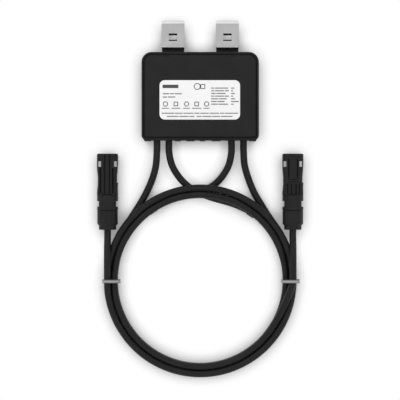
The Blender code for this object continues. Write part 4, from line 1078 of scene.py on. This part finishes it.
@dataclass
class Label:
    """The white label and its plain print of bars and simple shapes. Lengths are in millimetres."""

    top: float = 25.0
    ink: float = 0.03

    def build(self) -> None:
        """Dresses the plate and prints every zone."""
        dressed_copy("label_plate", Finish.LABEL.made, rounding=0.1 * MM)
        self.print_zone("label_heading", self.heading_bars(), Finish.INK.made)
        self.print_zone("label_fine_lines", self.fine_bars(), Finish.PALE_INK.made)
        self.print_zone("label_table", self.table_bars(), Finish.PALE_INK.made)
        self.print_shapes()

    @staticmethod
    def dashed(
        left: float, y: float, widths: tuple[float, ...], height: float
    ) -> list[tuple[float, float, float, float]]:
        """A line of plain bars with narrow gaps between them.

        Args:
            left: Where the line starts along X.
            y: Its place along Y.
            widths: The bars' widths, from the left.
            height: The bars' height.

        Returns:
            Each bar as (x, y, width, height).
        """
        bars = []
        for width in widths:
            bars.append((left + width / 2, y, width, height))
            left += width + 0.7
        return bars

    def heading_bars(self) -> list[tuple[float, float, float, float]]:
        """The heading: one wide plain bar, as (x, y, width, height)."""
        return [(-29.6, 9.5, 15.8, 3.4)]

    def fine_bars(self) -> list[tuple[float, float, float, float]]:
        """Thin bars in place of the small lines, as (x, y, width, height)."""
        bars = self.dashed(-37.3, 2.2, (6.4, 4.0, 7.1), 1.1) + self.dashed(-37.3, -1.1, (4.2, 7.6), 1.1)
        for x, width in ((-34.7, 7.2), (-24.1, 8.8), (-13.6, 6.6), (-3.4, 9.4), (6.3, 6.2)):
            bars.append((x, -12.3, width, 0.9))
        bars += self.dashed(-38.4, -17.25, (12.4, 7.8, 10.2, 5.2, 8.6, 9.4, 4.4, 13.2), 1.0)
        bars += self.dashed(-33.1, -20.4, (11.6, 9.4, 5.0), 1.0)
        bars += self.dashed(-3.5, -20.4, (4.8, 9.2, 8.0, 11.6), 1.0)
        return bars

    def table_bars(self) -> list[tuple[float, float, float, float]]:
        """The table at the right: rows of long bars and of short ones, as (x, y, width, height)."""
        bars = []
        rows = (
            ((3.0, 13.3), 3.3),
            ((3.0, 9.2, 4.1), 2.1),
            ((4.4, 9.2), 3.8),
            ((3.0, 9.0, 4.1), 2.2),
            ((7.2, 7.5), 3.8),
            ((5.6, 7.1), 7.6),
            ((6.4, 9.7), 2.6),
        )
        for row, (widths, value) in enumerate(rows):
            y = 7.8 - 2.67 * row
            bars += self.dashed(10.9, y, widths, 1.1)
            bars.append((30.7 + value / 2, y, value, 1.1))
        return bars

    def print_zone(
        self, name: str, bars: list[tuple[float, float, float, float]], ink: bpy.types.Material
    ) -> None:
        """Prints a group of plain bars as one thin raised piece.

        Args:
            name: The piece's name.
            bars: Each bar as (x, y, width, height).
            ink: The ink's material.
        """
        piece = new_mesh(name, ink)
        for x, y, width, height in bars:
            place = (x * MM, y * MM, self.top * MM)
            bpy.ops.mesh.select_all(action="DESELECT")
            bpy.ops.mesh.primitive_plane_add(size=MM, location=place)
            bpy.ops.transform.resize(value=(width, height, 1), center_override=place)
        self.raise_print(piece)

    def print_shapes(self) -> None:
        """Prints five simple outlined shapes in a row and one in the heading."""
        piece = new_mesh("label_shapes", Finish.INK.made)
        for x, y, radius, sides in (
            (-3.0, 9.4, 3.4, 32),
            (2.6, 9.4, 3.4, 4),
            (-34.6, -8.0, 2.6, 32),
            (-24.2, -8.0, 3.2, 4),
            (-13.6, -8.0, 2.8, 6),
            (-3.5, -8.0, 3.2, 4),
            (6.4, -8.0, 2.6, 32),
        ):
            place = (x * MM, y * MM, self.top * MM)
            bpy.ops.mesh.select_all(action="DESELECT")
            bpy.ops.mesh.primitive_circle_add(
                vertices=sides,
                radius=radius * MM,
                fill_type="NGON",
                location=place,
                rotation=(0, 0, math.pi / sides),
            )
            bpy.ops.mesh.inset(thickness=0.8 * MM)
            bpy.ops.mesh.delete(type="FACE")
        self.raise_print(piece)

    def raise_print(self, piece: bpy.types.Object) -> None:
        """Gives flat print its thickness and closes it."""
        bpy.ops.mesh.select_all(action="SELECT")
        bpy.ops.mesh.extrude_region_move(TRANSFORM_OT_translate={"value": (0, 0, self.ink * MM)})
        bpy.ops.mesh.select_all(action="SELECT")
        bpy.ops.mesh.normals_make_consistent(inside=False)
        bpy.ops.object.mode_set(mode="OBJECT")
        settle(piece)
        log.info("%s: printed", piece.name)


# Connectors


class Side(Enum):
    """Which of the two connectors."""

    LEFT = "left"
    RIGHT = "right"


@dataclass
class Connector:
    """One plug connector: sleeve, body, cap nut and what is inside."""

    side: Side
    rounding: float = 0.22 * MM
    sleeve_rounding: float = 0.08 * MM
    sleeve_end: float = -98.4 * MM
    shoulder_end: float = -113.6 * MM
    seam: float = 0.25 * MM

    def build(self) -> None:
        """Dresses the connector's pieces."""
        side = self.side.value
        plastic = Finish.CONNECTOR.made
        dressed_copy(
            f"{side}_front_sleeve",
            plastic,
            rounding=self.sleeve_rounding,
            seams=((self.sleeve_end, -self.seam),),
            whole_flats=False,
        )
        dressed_copy(
            f"{side}_connector_body",
            plastic,
            rounding=self.rounding,
            seams=((self.shoulder_end, -self.seam),),
        )
        dressed_copy(
            f"{side}_cap_nut", plastic, body=f"{side}_nut_body", rounding=self.rounding
        )
        contact = "pin" if self.side is Side.LEFT else "socket"
        for node, finish in (
            (f"{side}_{contact}_contact", Finish.TIN),
            (f"{side}_cable_seal", Finish.SEAL),
            (f"{side}_collet", Finish.CONNECTOR),
        ):
            wear_material(frame["nodes"][node], finish.made)
        log.info("%s connector: dressed", side)


# Electronics


@dataclass
class Electronics:
    """The board and what stands on it, closed in by the lid."""

    capacitors: int = 3
    transistors: int = 4
    terminals: int = 4

    def build(self) -> None:
        """Gives every inner node its finish."""
        finishes = {
            "circuit_board": Finish.LAMINATE,
            "power_inductor": Finish.FERRITE,
            "controller_chip": Finish.CHIP,
            "heat_spreader": Finish.CAN,
        }
        for number in range(1, self.capacitors + 1):
            finishes[f"capacitor_{number}"] = Finish.CAN
        for number in range(1, self.transistors + 1):
            finishes[f"transistor_{number}"] = Finish.CHIP
        for number in range(1, self.terminals + 1):
            finishes[f"lead_terminal_{number}"] = Finish.COPPER
        for node, finish in finishes.items():
            wear_material(frame["nodes"][node], finish.made)
        log.info("electronics: %d nodes finished", len(finishes))


def main() -> None:
    """Builds the studio and every sub-assembly in order."""
    logging.basicConfig(level=logging.INFO, format="%(message)s")
    Studio().build()
    for side in Side:
        Connector(side).build()
    Leads().build()
    Housing().build()
    FrameClips().build()
    Label().build()
    Electronics().build()


if __name__ == "__main__":
    main()
